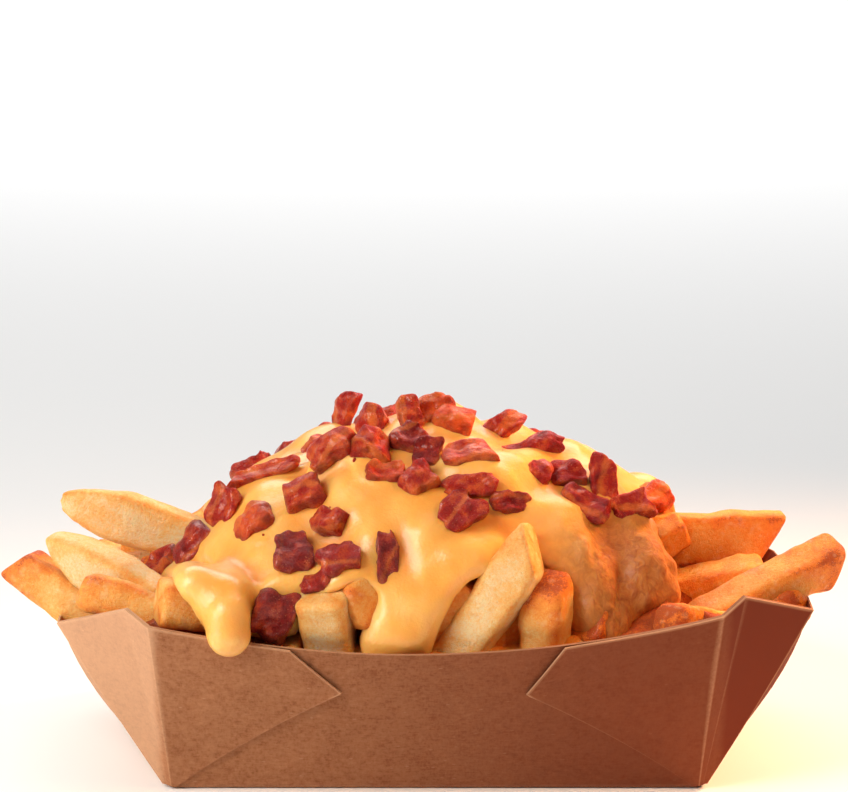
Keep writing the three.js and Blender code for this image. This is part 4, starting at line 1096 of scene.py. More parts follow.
def bit_list() -> list[Bit]:
    """Return the bits in the order of the solids' names, with those on the far side after the others."""
    rows = [
        ((-27, 3, 94), (13, 7, 4), 30, 62, 0.55, 0.3, 0.05, False), ((-35, 2, 86), (9, 6, 4), 45, 10, 0.6, 0.4, 0, False),
        ((-50, -2, 79.6), (22, 5.5, 3.5), 4, 4, 0.7, 0.2, -0.035, False), ((-60.5, -5, 70), (11, 10, 4), 60, 28, 0.5, 0.2, 0.05, False),
        ((-68.5, -21, 64), (13, 10, 4.5), 40, 10, 0.25, 0.2, 0.04, False), ((-77, -27, 59.5), (9, 9, 6), 0, 10, 0.5, 0.5, 0, False),
        ((-37, -27, 79.4), (11, 10, 8), 10, 8, 0.6, 0.25, 0, True), ((-51, -31, 73), (12, 9, 7), 35, 5, 0.85, 0.7, 0.03, True),
        ((-29, -38, 75), (10, 8, 7), -20, 10, 0.6, 0.3, 0, True), ((-40, -45, 67.3), (13, 10, 6), 105, 6, 0.18, 0.1, 0, True),
        ((-26, -49, 66.7), (11, 10, 8), 15, 0, 0.4, 0.25, 0, True), ((-32, -52, 62), (9, 5.5, 5), 5, 0, 0.35, 0.3, 0, True),
        ((-14, -49, 66.6), (16, 6, 4), 96, 12, 0.15, 0.15, 0.03, True), ((-45, -56, 54.5), (14, 12, 8), 60, 0, 0.15, 0.12, 0, True),
        ((-29.7, -8, 88.6), (14, 10, 7), 20, 8, 0.65, 0.35, 0, False), ((-19, -7, 88.7), (11, 10, 9), -5, 0, 0.6, 0.4, 0, False),
        ((-7.5, -8, 91), (10, 9, 7), 50, 10, 0.15, 0.25, 0, False), ((-2, -17, 89), (9, 8, 6), 80, 14, 0.15, 0.3, 0, False),
        ((-14.3, -23, 85.6), (11, 6.5, 5), 0, 0, 0.8, 0.6, 0, True), ((-5, -28, 83.5), (10, 9, 8), 40, 10, 0.55, 0.35, 0, False),
        ((-17.2, 6, 93), (9, 8, 6), 70, 25, 0.6, 0.4, 0, False), ((-7.3, 4, 95), (10, 7, 6), 110, 35, 0.6, 0.5, 0, False),
        ((-1, 3, 95.9), (12, 10, 6), 20, 30, 0.9, 0.6, 0.04, False), ((5.6, 3, 93.2), (12, 10, 7), -15, 12, 0.95, 0.35, 0, False),
        ((9.6, -15, 89), (15, 9, 5), 10, 0, 0.75, 0.7, 0, True), ((19, 1, 91.9), (14, 7, 4), 35, 20, 0.6, 0.3, 0.06, False),
        ((29.3, -4, 87.3), (16, 7, 4.5), 10, 10, 0.4, 0.2, -0.05, False), ((29, -22, 84.6), (8, 7, 5), 75, 10, 0.55, 0.2, 0, True),
        ((38.5, -19, 83), (10, 9, 6), 0, 8, 0.4, 0.2, 0, False), ((42.5, -30, 77.5), (14, 10, 5), -25, 8, 0.4, 0.25, -0.04, True),
        ((48, -13, 79.5), (13, 8, 4), 100, 30, 0.5, 0.2, 0.05, False), ((55, -27, 76.6), (12, 8, 5), 20, 10, 0.5, 0.3, 0, True),
        ((10, -30, 83.6), (14, 7, 6), 5, 5, 0.6, 0.35, 0.03, False), ((6.7, -40, 77.8), (12, 10, 6), 50, 10, 0.45, 0.2, 0, True),
        ((21, -34, 80.1), (11, 6, 5), 5, 0, 0.2, 0.15, 0, True), ((63, -10, 74.5), (11, 8, 6), 30, 15, 0.95, 0.4, 0, False),
    ]
    bits = [Bit(*row[:7]) for row in rows]
    middle = FryHeap.centre[0]
    behind = []
    for i, b in enumerate(b for b, row in zip(bits, rows) if row[7]):
        away = (b.at[0] - middle) * (0.75 if b.at[0] > middle else 1.1)
        spot = (middle - away + mix(-4, 4, draw(i, 21)), -b.at[1] + mix(0, 4, draw(i, 22)), b.at[2] - 4)
        size = tuple(v * mix(0.9, 1.08, draw(i, 23)) for v in b.size)
        behind.append(Bit(spot, size, b.turn + mix(-40, 40, draw(i, 24)), b.tip, b.tone, b.fat, b.curl, behind=True))
    return bits + behind


# Sauce

@dataclass
class CheeseSauce:
    """The poured sauce: a skin over the mound and its fries, with rounded edges, tongues and a drip over the rim."""

    heap: FryHeap
    thickness: float = 4.4
    blend: float = 7.0
    pitch: float = 1.0
    hollow_rounds: int = 60
    low: tuple[float, float, float] = (-92.0, -76.0, 40.0)
    high: tuple[float, float, float] = (96.0, 76.0, 104.0)
    front_edge: tuple = ((-130, 67), (-76, 66.5), (-73.7, 64.5), (-65.3, 62), (-63.8, 55), (-62.5, 52), (-50.5, 50),
                         (-40, 50), (-37, 57), (-34.5, 63.5), (-25.2, 64), (-14.6, 63), (-12.8, 58), (-12.6, 45), (-2.5, 45),
                         (0.5, 54), (4.5, 60.5), (8.5, 65.5), (12.5, 67.5), (15, 66), (29.3, 66.9), (40.2, 61.4), (45, 52),
                         (47.5, 49), (57, 49), (62.5, 51.9), (71.7, 56.1), (78, 60), (130, 60))
    back_edge: tuple = ((-130, 61), (-76, 59), (-65, 53), (-58, 49), (-47, 48), (-43, 60), (-28, 66), (-12, 65.5), (-5, 60),
                        (-1, 47), (15, 46), (18, 57), (27, 60.5), (40, 61), (49, 60), (51, 51), (58, 47), (64, 50),
                        (66, 61), (75, 62), (82, 63.5), (130, 63))
    left_edge: tuple = ((-130, 61), (-50, 62.5), (-35, 63.5), (-20, 60), (-8, 66), (8, 67), (22, 62), (40, 60), (130, 60))
    right_edge: tuple = ((-130, 58), (-48, 58), (-38, 60.4), (-25, 65.5), (-12, 69.4), (4, 70.7), (18, 66), (34, 61), (130, 60))
    drips: tuple = (
        (((-6, -48, 66), (-9, -54.5, 58), (-12.5, -57.5, 51), (-14.5, -58, 42)), (4.0, 4.4, 5.0, 5.2)),
        (((-57.5, -46, 60), (-57.3, -60, 60.5), (-57.0, -65.3, 57), (-56.8, -66.6, 51.8)), (5.0, 5.2, 5.6, 6.1)),
        (((58, 44, 60), (57, 58, 57), (56.5, 63, 51.5)), (4.6, 4.8, 5.4)),
    )
    ridges: tuple = (
        (((-3, -50, 75), (-2.5, -50, 64), (-4.5, -50, 55), (-8.5, -50, 46)), 4.8, 3.0),
        (((-14, -50, 72), (-9.5, -50, 60), (-13, -50, 50), (-16, -50, 44)), 4.5, 1.2),
        (((5, -50, 69), (10.5, -50, 70.5), (15, -50, 72)), 4.2, 2.6),
        (((36, -50, 82), (42, -50, 68), (46, -50, 55), (49, -50, 46)), 8.0, 3.0),
        (((17, -50, 91), (22, -50, 95), (28, -50, 98)), 6.0, 3.0),
        (((-26, -50, 88), (-22, -50, 82), (-19, -50, 75)), 5.0, 1.6),
        (((-74, -50, 65), (-67, -50, 63.5), (-63, -50, 58)), 4.2, 1.6),
        (((57, -50, 80), (60, -50, 68), (65, -50, 57)), 5.0, 2.0),
        (((-58, -50, 76), (-48, -50, 70), (-42, -50, 64)), 6.0, 1.2),
    )

    def support(self, points: Points) -> Points:
        """Return the distance of points from what carries the sauce, run together softly."""
        distance = self.heap.mound_distance(points)
        for fry in [f for f in self.heap.shown if f.coated] + self.heap.sunk:
            lo = np.minimum(fry.root, fry.tip) - 24
            hi = np.maximum(fry.root, fry.tip) + 24
            near = np.all((points > lo) & (points < hi), axis=1)
            if near.any():
                distance[near] = soft_min(distance[near], fry.distance(points[near], 3.5), self.blend)
        return distance

    @staticmethod
    def edge_distance(across: Points, up: Points, line: Sequence[Sequence[float]]) -> Points:
        """Return how far places lie above a drawn edge line, measured square to it.

        Args:
            across: Positions along the line's run.
            up: Heights.
            line: Corners of the edge line, in order of position.

        Returns:
            Distances, positive above the line.
        """
        corners = np.array(line, float)
        best = np.full(len(across), 1e9)
        for (x0, z0), (x1, z1) in zip(corners[:-1], corners[1:]):
            dx, dz = x1 - x0, z1 - z0
            share = np.clip(((across - x0) * dx + (up - z0) * dz) / (dx * dx + dz * dz), 0, 1)
            best = np.minimum(best, np.hypot(across - x0 - dx * share, up - z0 - dz * share))
        return np.where(up > np.interp(across, corners[:, 0], corners[:, 1]), best, -best)

    def coverage(self, points: Points) -> Points:
        """Return how far inside the sauce's outline points lie, in millimetres, negative past its edge."""
        x, y, z = points.T
        turn = self.heap.azimuth(points)
        total = np.zeros(len(points))
        for middle, across, line in ((-90, x, self.front_edge), (90, x, self.back_edge), (180, y, self.left_edge),
                                     (0, y, self.right_edge)):
            away = np.abs((turn - middle + 180) % 360 - 180)
            weight = 1 - smoothstep((away - 30) / 30)
            used = weight > 0
            total[used] += weight[used] * self.edge_distance(across[used], z[used], line)
        return total

    @staticmethod
    def strand(points: Points, path: Sequence[Sequence[float]], radii: Sequence[float]) -> Points:
        """Return the distance of points from a run of sauce along a path with a radius at each corner."""
        best = np.full(len(points), 1e9)
        for a, b, ra, rb in zip(path[:-1], path[1:], radii[:-1], radii[1:]):
            start, run = np.array(a, float), np.array(b, float) - np.array(a, float)
            share = np.clip((points - start) @ run / (run @ run), 0, 1)
            away = np.linalg.norm(points - start - share[:, None] * run, axis=1) - mix(ra, rb, share)
            best = soft_min(best, away, 2.0)
        return best

    def body(self, points: Points, skirts: Sequence[tuple] = ()) -> Points:
        """Return the distance of points from the sauce's surface, negative in it.

        Args:
            points: Places in millimetres.
            skirts: For each bit, its foot, its three directions and its half sizes, where sauce creeps up on it.

        Returns:
            Distances in millimetres.
        """
        base = self.support(points)
        cover = self.coverage(points)
        folds = lattice_noise(points * (1, 1, 0.45), 15, 21) * 0.7 + lattice_noise(points * (1, 1, 0.6), 6.5, 22) * 0.28
        bead = 1.0 * np.exp(-((cover - 3.5) / 3.2) ** 2)
        thick = self.thickness + folds + bead
        swell = 1.4 * (1 - np.clip((base - thick * 0.45) / (thick * 0.55), -1, 1) ** 2)
        skin = soft_max(base - thick, -(cover + swell), 3.2)
        for path, radii in list(self.drips) + self.laid_ridges:
            lo, hi = np.min(path, axis=0) - 16, np.max(path, axis=0) + 16
            near = np.all((points > lo) & (points < hi), axis=1)
            if near.any():
                skin[near] = soft_min(skin[near], self.strand(points[near], path, radii), 5.0)
        for foot, axes, half in skirts:
            near = np.abs(points - foot).max(axis=1) < max(half) + 6
            if near.any():
                local = (points[near] - foot) @ axes.T / half
                size = np.linalg.norm(local, axis=1)
                away = (size - 1) * min(half)
                skin[near] = soft_min(skin[near], away, 2.2)
        return soft_max(skin, -(base + 5.0), 2.0)

    def seen_point(self, eye: Points, mark: Points) -> Points:
        """Return where a line of sight through a mark meets the sauce, or the sauce's place nearest to the mark."""
        gaze = normalise(mark - eye)
        start = float(np.linalg.norm(mark - eye)) - 90
        line = eye + gaze * np.arange(start, start + 180, 0.5)[:, None]
        inside = np.nonzero(self.support(line) < self.thickness)[0]
        if len(inside):
            return line[inside[0]]
        return mark - self.normal(mark) * (self.support(mark[None])[0] - self.thickness)

    def __post_init__(self) -> None:
        """Lay the ridges on the surface where the front view shows them."""
        self.laid_ridges = []
        eye = np.array(Studio.camera_place) / MM
        for marks, radius, rise in self.ridges:
            path = []
            for mark in marks:
                point = self.seen_point(eye, np.array(mark, float))
                path.append(tuple(point - self.normal(point) * (radius - rise)))
            self.laid_ridges.append((tuple(path), (radius,) * len(path)))

    def normal(self, point: Points) -> Points:
        """Return the direction straight out of the sauce at a point."""
        steps = np.vstack([np.eye(3), -np.eye(3)]) * 1.5
        around = self.support(point + steps)
        return normalise(around[:3] - around[3:])

    def net(self, skirts: Sequence[tuple]) -> Shape:
        """Return the sauce's surface as a mesh drawn through a grid of distances."""
        spans = [np.arange(a, b + self.pitch / 2, self.pitch) for a, b in zip(self.low, self.high)]
        nx, ny, nz = (len(s) for s in spans)
        gx, gy, gz = np.meshgrid(*spans, indexing="ij")
        points = np.stack([gx.ravel(), gy.ravel(), gz.ravel()], axis=1)
        rough = self.heap.mound_distance(points)
        band = (rough > -16) & (rough < 34)
        values = np.where(rough > 0, 9.0, 9.0)
        values[band] = self.body(points[band], skirts)
        field_values = values.reshape(nx, ny, nz)
        return surface_net(field_values, np.array(self.low), self.pitch)

    def make(self, skirts: Sequence[tuple], finish: bpy.types.Material) -> bpy.types.Object:
        """Build the sauce, dress it and tie it to the frame."""
        shape = self.net(skirts)
        x, y, z = shape.points.T
        # Mask of the right flank: it wrinkles the sauce there, and the material also paints shade on it.
        right = smoothstep((x - 22) / 28) * smoothstep((92 - z) / 24) * smoothstep((-y - 4) / 18)
        shape.values["skin"] = right
        shape.values["hollow"] = hollows(shape, self.hollow_rounds)
        wrinkle = lattice_noise(shape.points * (1.4, 1, 0.7), 5.0, 33) * 1.1 + lattice_noise(shape.points, 2.4, 34) * 0.5
        toward = normalise(shape.points - np.array(self.heap.centre))
        shape.points += toward * (right * wrinkle)[:, None]
        sauce = to_object(shape, "cheese_sauce_skin", finish)
        settle(sauce, "cheese_sauce", "cheese_sauce")
        return sauce


def surface_net(values: Points, low: Points, pitch: float) -> Shape:
    """Draw a closed surface where a grid of distances changes sign.

    Args:
        values: Distances on a three-way grid, negative inside.
        low: The grid's lowest corner.
        pitch: The grid's spacing.

    Returns:
        The surface's mesh, smoothed lightly.
    """
    inside = values < 0
    dims = np.array(values.shape) - 1
    corners = [(i, j, k) for i in (0, 1) for j in (0, 1) for k in (0, 1)]
    count = sum(inside[i:i + dims[0], j:j + dims[1], k:k + dims[2]].astype(np.int8) for i, j, k in corners)
    cells = np.argwhere((count > 0) & (count < 8))
    number = np.full(dims, -1, np.int64)
    number[tuple(cells.T)] = np.arange(len(cells))
    total, crossings = np.zeros((len(cells), 3)), np.zeros(len(cells))
    for a in corners:
        for axis in range(3):
            if a[axis]:
                continue
            b = tuple(1 if n == axis else v for n, v in enumerate(a))
            va = values[tuple((cells + a).T)]
            vb = values[tuple((cells + b).T)]
            cut = (va < 0) != (vb < 0)
            share = np.where(cut, va / np.where(cut, va - vb, 1), 0)
            place = np.array(a) + share[:, None] * (np.array(b) - np.array(a))
            total[cut] += place[cut]
            crossings[cut] += 1
    points = low + (cells + total / crossings[:, None]) * pitch
    quads = []
    for axis in range(3):
        u, v = (axis + 1) % 3, (axis + 2) % 3
        span = [slice(1, -1)] * 3
        span[axis] = slice(0, -1)
        ahead = list(span)
        ahead[axis] = slice(1, None)
        start, end = inside[tuple(span)], inside[tuple(ahead)]
        for flip, mask in ((False, start & ~end), (True, ~start & end)):
            at = np.argwhere(mask)
            at[:, u] += 1
            at[:, v] += 1
            square = []
            for du, dv in ((0, 0), (1, 0), (1, 1), (0, 1)):
                cell = at.copy()
                cell[:, u] -= 1 - du
                cell[:, v] -= 1 - dv
                square.append(number[tuple(cell.T)])
            made = np.stack(square, axis=1)
            quads.append(made[:, ::-1] if flip else made)
    faces = np.vstack(quads)
    points = relaxed(points, faces, 3)
    return Shape(points, faces.tolist())


def hollows(shape: Shape, rounds: int) -> Points:
    """Return how deep each point of a net of quads lies in a hollow, in millimetres, negative on a crest.

    Args:
        shape: The net.
        rounds: Rounds of easing, which set how broad the hollows are that count.

    Returns:
        One depth for each point.
    """
    faces = np.array(shape.faces)
    corner = shape.points[faces]
    square = np.cross(corner[:, 2] - corner[:, 0], corner[:, 3] - corner[:, 1])
    outward = np.stack([sum(np.bincount(faces[:, k], square[:, axis], len(shape.points)) for k in range(4))
                        for axis in range(3)], axis=1)
    pairs = np.vstack([faces[:, [0, 1]], faces[:, [1, 2]], faces[:, [2, 3]], faces[:, [3, 0]]])
    degree = np.maximum(np.bincount(pairs.ravel(), minlength=len(shape.points)), 1)[:, None]
    eased = shape.points
    for _ in range(rounds):
        near = np.stack([np.bincount(pairs[:, 0], eased[pairs[:, 1], axis], len(eased))
                         + np.bincount(pairs[:, 1], eased[pairs[:, 0], axis], len(eased)) for axis in range(3)], axis=1)
        eased = eased + 0.6 * (near / degree - eased)
    depth = ((eased - shape.points) * normalise(outward)).sum(axis=1)
    return depth - float(np.median(depth))


def relaxed(points: Points, faces: Points, rounds: int) -> Points:
    """Return points eased towards their neighbours and back, which smooths without shrinking."""
    pairs = np.vstack([faces[:, [0, 1]], faces[:, [1, 2]], faces[:, [2, 3]], faces[:, [3, 0]]])
    degree = np.bincount(pairs.ravel(), minlength=len(points)).astype(float)
    for _ in range(rounds):
        for share in (0.5, -0.47):
            near = np.zeros_like(points)
            for axis in range(3):
                near[:, axis] = np.bincount(pairs[:, 0], points[pairs[:, 1], axis], len(points))
                near[:, axis] += np.bincount(pairs[:, 1], points[pairs[:, 0], axis], len(points))
            points = points + share * (near / np.maximum(degree, 1)[:, None] - points)
    return points


# Bacon

@dataclass
class BaconBits:
    """The bacon bits, each a wavy cut of layered meat and fat, sunk a little into the sauce."""

    sauce: CheeseSauce
    sides: int = 18
    sink: float = 0.18
    facing: float = 0.8
    cuts: int = 7

    def __post_init__(self) -> None:
        """Find each bit's place on the sauce."""
        self.bits = bit_list()
        self.places = [self.place(bit) for bit in self.bits]

    def foot(self, bit: Bit) -> tuple[Points, Points]:
        """Return the place on the sauce where the front view, or the view from behind, shows a bit, and that view."""
        eye = np.array(Studio.camera_place) / MM
        if bit.behind:
            eye = eye * (-1, -1, 1) + (2 * self.sauce.heap.centre[0], 0, 0)
        point = self.sauce.seen_point(eye, np.array(bit.at, float))
        return point, normalise(eye - point)

    def place(self, bit: Bit) -> tuple[Points, Points]:
        """Return a bit's middle and its three directions as rows: along, across and up."""
        point, toward = self.foot(bit)
        straight = self.sauce.normal(point)
        turned_away = max(0.0, self.facing - float(straight @ toward))
        normal = normalise(straight + toward * turned_away)
        level = normalise(np.array([1.0, 0, 0]) - normal * normal[0])
        rise = np.cross(normal, level)
        turn, tip = math.radians(bit.turn), math.radians(bit.tip)
        flat = level * math.cos(turn) + rise * math.sin(turn)
        along = flat * math.cos(tip) + normal * math.sin(tip)
        across = normalise(np.cross(normal, flat))
        lift = bit.size[0] / 2 * math.sin(tip) * 0.8 + bit.size[2] * (0.32 - self.sink) + bit.size[1] * 0.17 * turned_away
        return point + normal * lift, np.array([along, across, np.cross(along, across)])

    def skirts(self) -> list[tuple]:
        """Return the flat mounds of sauce that creep up round the bits."""
        made = []
        for bit, (middle, axes) in zip(self.bits, self.places):
            foot = self.foot(bit)[0]
            normal = self.sauce.normal(foot)
            across = normalise(np.cross(normal, axes[0]))
            frame_axes = np.array([np.cross(across, normal), across, normal])
            flat = abs(axes[0] @ frame_axes[0])
            half = np.array([bit.size[0] / 2 * max(flat, 0.45) + 0.7, bit.size[1] / 2 + 0.7, 1.5])
            made.append((foot - normal * 0.4, frame_axes, half))
        return made

    def shape(self, index: int) -> Shape:
        """Return one bit's mesh, with its fat, tone and charring at its points."""
        bit, (middle, axes) = self.bits[index], self.places[index]
        rng = np.random.default_rng(3000 + index)
        cube, faces = cube_net(self.sides)
        ball = cube / np.linalg.norm(cube, ord=7, axis=1, keepdims=True)
        half = np.array(bit.size) / 2 * (1.02, 1.0, 0.96)
        around = np.arctan2(ball[:, 1], ball[:, 0])
        ragged = np.ones(len(ball))
        for waves, most in ((2, 0.06), (3, 0.12), (4, 0.07), (5, 0.06), (7, 0.035), (9, 0.025)):
            ragged += rng.uniform(0.4, 1) * most * np.cos(waves * around + rng.uniform(0, 6.3))
        flat = ball * half
        flat[:, :2] *= (ragged * (1 + rng.uniform(-0.12, 0.12) * ball[:, 2]))[:, None]
        x, y = flat[:, 0].copy(), flat[:, 1].copy()
        seed = 60 + index * 3
        flat[:, 2] *= 1 + 0.35 * lattice_noise(np.stack([x, y, x * 0], 1), 3.4, seed + 2)
        heading = rng.uniform(-0.5, 0.5)
        layer = (y * math.cos(heading) + x * math.sin(heading)) + 0.5 * flat[:, 2]
        layer = layer + 0.9 * lattice_noise(np.stack([x, y, flat[:, 2]], 1), 4.5, seed + 5)
        bands = np.sin(layer * rng.uniform(0.45, 0.8) + rng.uniform(0, 6.3))
        fat = smoothstep((bands - mix(0.95, -0.1, bit.fat)) / 0.3)
        outward = normalise(np.sign(ball) * np.abs(ball) ** 3.2 / half)
        relief = (lattice_noise(flat, 3.0, seed) * 0.4 + lattice_noise(flat, 1.5, seed + 1) * 0.2
                  + lattice_noise(flat, 0.8, seed + 7) * 0.14 - fat * 0.08)
        flat += outward * relief[:, None]
        for _ in range(self.cuts):
            face = normalise(rng.uniform(-1, 1, 3) * (1, 1, 0.8))
            past = flat @ face - rng.uniform(0.7, 0.88) * np.abs(face * half).sum()
            flat -= np.maximum(past, 0)[:, None] * face * 0.85
        flat[:, 2] += rng.uniform(0.3, 0.8) * np.sin(x / half[0] * rng.uniform(1.6, 3.2) + index)
        flat[:, 2] += rng.uniform(0.1, 0.5) * np.sin(y / half[1] * 2.4 + index * 2)
        curl = bit.curl or rng.uniform(-0.035, 0.035)
        angle, rim = flat[:, 0] * curl, 1 / curl + flat[:, 2]
        flat[:, 0], flat[:, 2] = np.sin(angle) * rim, np.cos(angle) * rim - 1 / curl
        thin = np.maximum(np.abs(ball[:, 0]), np.abs(ball[:, 1])) ** 6
        char = np.clip(thin * (0.3 + 1.1 * lattice_noise(flat, 2.2, seed + 4)), 0, 1)
        values = {"fat": fat, "tone": np.full(len(flat), bit.tone), "char": char}
        return Shape(middle + flat @ axes, faces, values)

    def make(self, finish: bpy.types.Material) -> list[bpy.types.Object]:
        """Build every bit, dress it and tie it to the frame."""
        made = []
        for index in range(len(self.bits)):
            name = f"bacon_{index + 1:02d}"
            piece = to_object(self.shape(index), f"{name}_bit", finish, 38)
            settle(piece, "crisp_bacon", name)
            made.append(piece)
        return made


def cube_net(sides: int) -> tuple[Points, list]:
    """Return a cube's surface as an even net of quads that share their points.

    Args:
        sides: Quads along one edge.

    Returns:
        Points from -1 to 1 each way, and faces that point outwards.
    """
    index: dict[tuple[int, int, int], int] = {}
    points, faces = [], []

    def corner(key: tuple[int, int, int]) -> int:
        """Return the number of the point at a grid place."""
        if key not in index:
            index[key] = len(points)
            points.append([math.tan((2 * k / sides - 1) * math.pi / 4) for k in key])
        return index[key]

    for axis in range(3):
        u, v = (axis + 1) % 3, (axis + 2) % 3
        for end in (0, sides):
            for i in range(sides):
                for j in range(sides):
                    square = []
                    for du, dv in ((0, 0), (1, 0), (1, 1), (0, 1)):
                        key = [0, 0, 0]
                        key[axis], key[u], key[v] = end, i + du, j + dv
                        square.append(corner(tuple(key)))
                    faces.append(tuple(square if end else square[::-1]))
    return np.array(points), faces


# Crumbs, scattered by geometry nodes

@dataclass
class Crumbs:
    """Small crumbs shed on to a piece, kept where a value on that piece allows them."""

    name: str
    slot: str
    per_square_cm: float
    smallest: float
    largest: float
    seed: int

    def tree(self, finish: bpy.types.Material) -> tuple[bpy.types.NodeTree, dict[str, str]]:
        """Build the scattering tree.

        Args:
            finish: What the crumbs are made of.

        Returns:
            The tree and its inputs' identifiers by name.
        """
        group = bpy.data.node_groups.new(f"{self.name}_scatter", "GeometryNodeTree")
        ids = {}
        for label, kind in (("Surface", "Geometry"), ("Per Square Metre", "Float"), ("Smallest", "Float"),
                            ("Largest", "Float"), ("Seed", "Int")):
            ids[label] = group.interface.new_socket(name=label, in_out="INPUT", socket_type=f"NodeSocket{kind}").identifier
        group.interface.new_socket(name="Crumbs", in_out="OUTPUT", socket_type="NodeSocketGeometry")
        t = Tree(group.nodes, group.links)
        given = t.node("NodeGroupInput").outputs
        shed = t.node("GeometryNodeInputNamedAttribute", {"data_type": "FLOAT"}, {"Name": "shed"}).outputs["Attribute"]
        density = Value(t, given["Per Square Metre"]) * Value(t, shed)
        spots = t.node("GeometryNodeDistributePointsOnFaces", None,
                       {"Mesh": given["Surface"], "Density": density, "Seed": given["Seed"]})
        crumb = t.node("GeometryNodeMeshIcoSphere", None, {"Radius": 1.0, "Subdivisions": 2})
        turn = t.node("FunctionNodeRandomValue", {"data_type": "FLOAT_VECTOR"},
                      {"Min": (0, 0, 0), "Max": (6.28, 6.28, 6.28), "Seed": given["Seed"]})
        size = t.node("FunctionNodeRandomValue", {"data_type": "FLOAT"},
                      {"Min": given["Smallest"], "Max": given["Largest"], "Seed": given["Seed"]})
        stretch = t.node("FunctionNodeRandomValue", {"data_type": "FLOAT_VECTOR"},
                         {"Min": (0.6, 0.5, 0.4), "Max": (1.4, 1.0, 0.8), "Seed": given["Seed"]})
        scale = t.node("ShaderNodeVectorMath", {"operation": "SCALE"},
                       {0: stretch.outputs["Value"], "Scale": size.outputs["Value"]})
        placed = t.node("GeometryNodeInstanceOnPoints", None, {
            "Points": spots.outputs["Points"], "Instance": crumb.outputs["Mesh"], "Rotation": turn.outputs["Value"],
            "Scale": scale.outputs[0]})
        real = t.node("GeometryNodeRealizeInstances", None, {"Geometry": placed.outputs[0]})
        rough = t.node("ShaderNodeTexNoise", None, {"Scale": 900.0, "Detail": 1.0})
        bump = (Value(t, rough.outputs[0]) - 0.5) * Value(t, given["Largest"]) * 1.1
        push = t.node("ShaderNodeVectorMath", {"operation": "SCALE"},
                      {0: t.node("GeometryNodeInputNormal").outputs[0], "Scale": bump})
        moved = t.node("GeometryNodeSetPosition", None, {"Geometry": real.outputs[0], "Offset": push.outputs[0]})
        shade = t.node("FunctionNodeRandomValue", {"data_type": "FLOAT"}, {"Min": 0.3, "Max": 1.0, "Seed": given["Seed"]})
        toned = t.node("GeometryNodeStoreNamedAttribute", {"data_type": "FLOAT", "domain": "POINT"},
                       {"Geometry": moved.outputs[0], "Name": "tone", "Value": shade.outputs["Value"]})
        dressed = t.node("GeometryNodeSetMaterial", None, {"Geometry": toned.outputs[0], "Material": finish})
        out = t.node("NodeGroupOutput")
        group.links.new(dressed.outputs[0], out.inputs[0])
        return group, ids

    def make(self, carrier: bpy.types.Object, shed: Points, finish: bpy.types.Material) -> bpy.types.Object:
        """Scatter the crumbs over a piece.

        Args:
            carrier: The piece that they lie on.
            shed: For each of its points, from 0 for none to 1 for the full number.
            finish: What the crumbs are made of.

        Returns:
            The crumbs as one piece.
        """
        host = bpy.data.objects.new(self.name, carrier.data.copy())
        bpy.context.scene.collection.objects.link(host)
        host.data.attributes.new("shed", "FLOAT", "POINT").data.foreach_set("value", shed.astype(np.float32))
        group, ids = self.tree(finish)
        scatter = host.modifiers.new("scatter", "NODES")
        scatter.node_group = group
        scatter[ids["Per Square Metre"]] = self.per_square_cm * 1e4
        scatter[ids["Smallest"]] = self.smallest * MM
        scatter[ids["Largest"]] = self.largest * MM
        scatter[ids["Seed"]] = self.seed
        view = bpy.context.evaluated_depsgraph_get()
        mesh = bpy.data.meshes.new_from_object(host.evaluated_get(view), preserve_all_data_layers=True, depsgraph=view)
        host.modifiers.remove(scatter)
        host.data = mesh
        mesh.shade_smooth()
        settle(host, self.slot)
        return host


# Studio

@dataclass(frozen=True)
class SoftLight:
    """A square studio light: where it stands, what it looks at, its size and its strength."""

    name: str
    place: Sequence[float]
    target: Sequence[float]
    size: float
    watts: float
    colour: Colour = (1.0, 1.0, 1.0)
    spread: float = 180.0
    mirrored: bool = True

    def make(self) -> None:
        """Hang the light."""
        lamp = bpy.data.lights.new(self.name, "AREA")
        lamp.size, lamp.energy, lamp.color = self.size, self.watts, self.colour
        lamp.spread = math.radians(self.spread)
        holder = bpy.data.objects.new(self.name, lamp)
        holder.location = self.place
        holder.visible_glossy = self.mirrored
        aim = Vector(self.target) - Vector(self.place)
        holder.rotation_euler = aim.to_track_quat("-Z", "Y").to_euler()
        bpy.context.scene.collection.objects.link(holder)


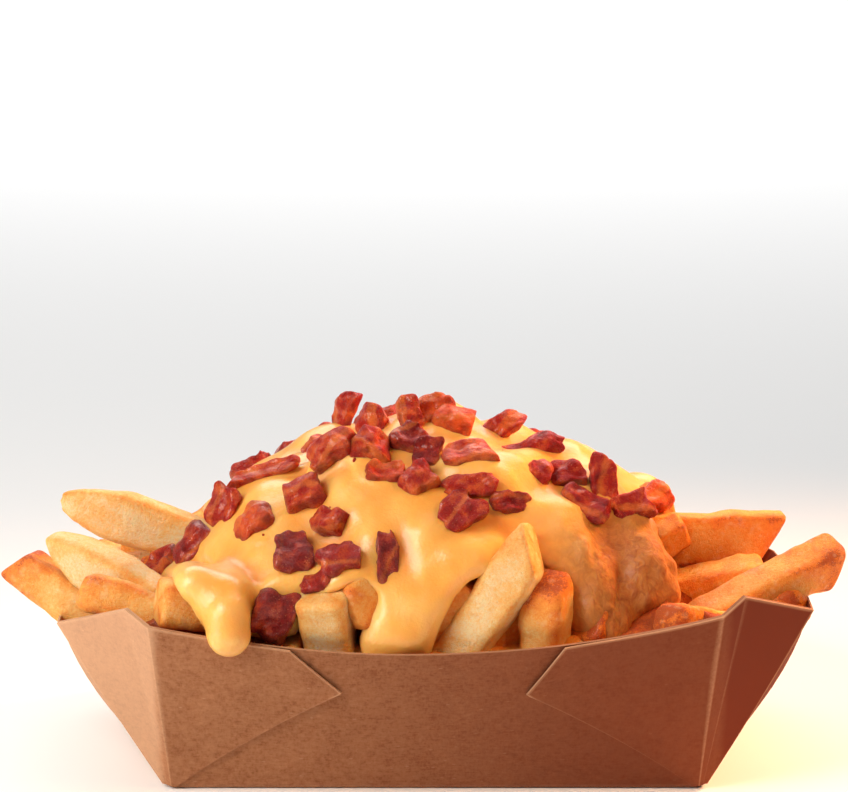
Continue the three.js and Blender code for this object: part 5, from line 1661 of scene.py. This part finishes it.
@dataclass
class Studio:
    """The pale floor, the soft lights and the camera where the photograph's stood."""

    lens: float = 118.87
    camera_place: tuple[float, float, float] = (-0.00314, -0.8023, 0.2891)
    camera_pitch: float = 77.0
    floor_radius: float = 6.0

    def floor(self) -> None:
        """Lay the floor."""
        f = Finish("studio_floor", Roughness=0.9, Specular_IOR_Level=0.1, Base_Color=(0.93, 0.93, 0.93, 1.0))
        ring = np.array([[math.cos(a), math.sin(a), 0] for a in np.linspace(0, 2 * math.pi, 64, endpoint=False)])
        shape = Shape(ring * self.floor_radius * 1000 - (0, 0, 0.15), [tuple(range(64))])
        to_object(shape, "studio_floor", f.material)

    def camera(self) -> None:
        """Stand the camera."""
        data = bpy.data.cameras.new("camera")
        data.lens, data.sensor_width = self.lens, 36.0
        data.clip_start, data.clip_end = 0.01, 50
        holder = bpy.data.objects.new("camera", data)
        holder.location = self.camera_place
        holder.rotation_euler = (math.radians(self.camera_pitch), 0, 0)
        bpy.context.scene.collection.objects.link(holder)
        bpy.context.scene.camera = holder

    def make(self) -> None:
        """Set the whole studio up."""
        self.floor()
        self.camera()
        world = bpy.data.worlds.new("studio_air")
        world.use_nodes = True
        world.node_tree.nodes["Background"].inputs["Color"].default_value = (1.0, 1.0, 1.0, 1.0)
        world.node_tree.nodes["Background"].inputs["Strength"].default_value = 0.12
        bpy.context.scene.world = world
        for light in (
            SoftLight("key", (-0.52, -0.36, 0.6), (-0.01, 0, 0.06), 0.42, 4.9, (1.0, 0.97, 0.92)),
            SoftLight("low", (-0.36, -0.2, 0.14), (-0.05, -0.02, 0.05), 0.16, 0.5, (1.0, 0.93, 0.82)),
            SoftLight("rim", (0.5, 0.34, 0.36), (0.06, 0, 0.07), 0.2, 0.8, (1.0, 0.56, 0.3), 44.0, False),
            SoftLight("side", (0.42, -0.26, 0.5), (0.09, -0.01, 0.055), 0.2, 0.13, (1.0, 0.56, 0.28), 36.0, False),
            SoftLight("backdrop", (0, 2.3, 1.6), (0, 2.3, 0), 2.6, 64.0),
        ):
            light.make()


def main() -> None:
    """Build the studio, the tray, the fries, the sauce and the bacon, in that order."""
    logging.basicConfig(level=logging.INFO, format="%(name)s %(message)s")
    bpy.context.scene.view_settings.view_transform = "Standard"
    Studio().make()
    tray = FoldedTray()
    tray.make(KraftBoard().make())
    crust = FriedPotato().make("fried_potato")
    # A darker, more orange copy of the crust for the core and bed: painted shade seen in the gaps between the fries.
    depths = FriedPotato(srgb(232, 138, 52), srgb(214, 112, 34), srgb(190, 84, 22), srgb(160, 62, 16), srgb(122, 42, 12)).make("potato_in_shade")
    heap = FryHeap()
    fries = heap.make(tray, crust, depths)
    sauce = CheeseSauce(heap)
    bacon = BaconBits(sauce)
    skin = sauce.make(bacon.skirts(), PouredCheese().make())
    meat = CrispBacon().make()
    bacon.make(meat)
    spots = np.empty(len(skin.data.vertices) * 3, np.float32)
    skin.data.vertices.foreach_get("co", spots)
    spots = spots.reshape(-1, 3) / MM
    top = smoothstep((spots[:, 2] - 62) / 12) * (np.linalg.norm(spots - heap.centre, axis=1) > 30)
    Crumbs("bacon_crumbs", "crisp_bacon", 0.14, 0.3, 0.8, 5).make(skin, top * (heap.gauge(spots) > 1.0), meat)


if __name__ == "__main__":
    main()
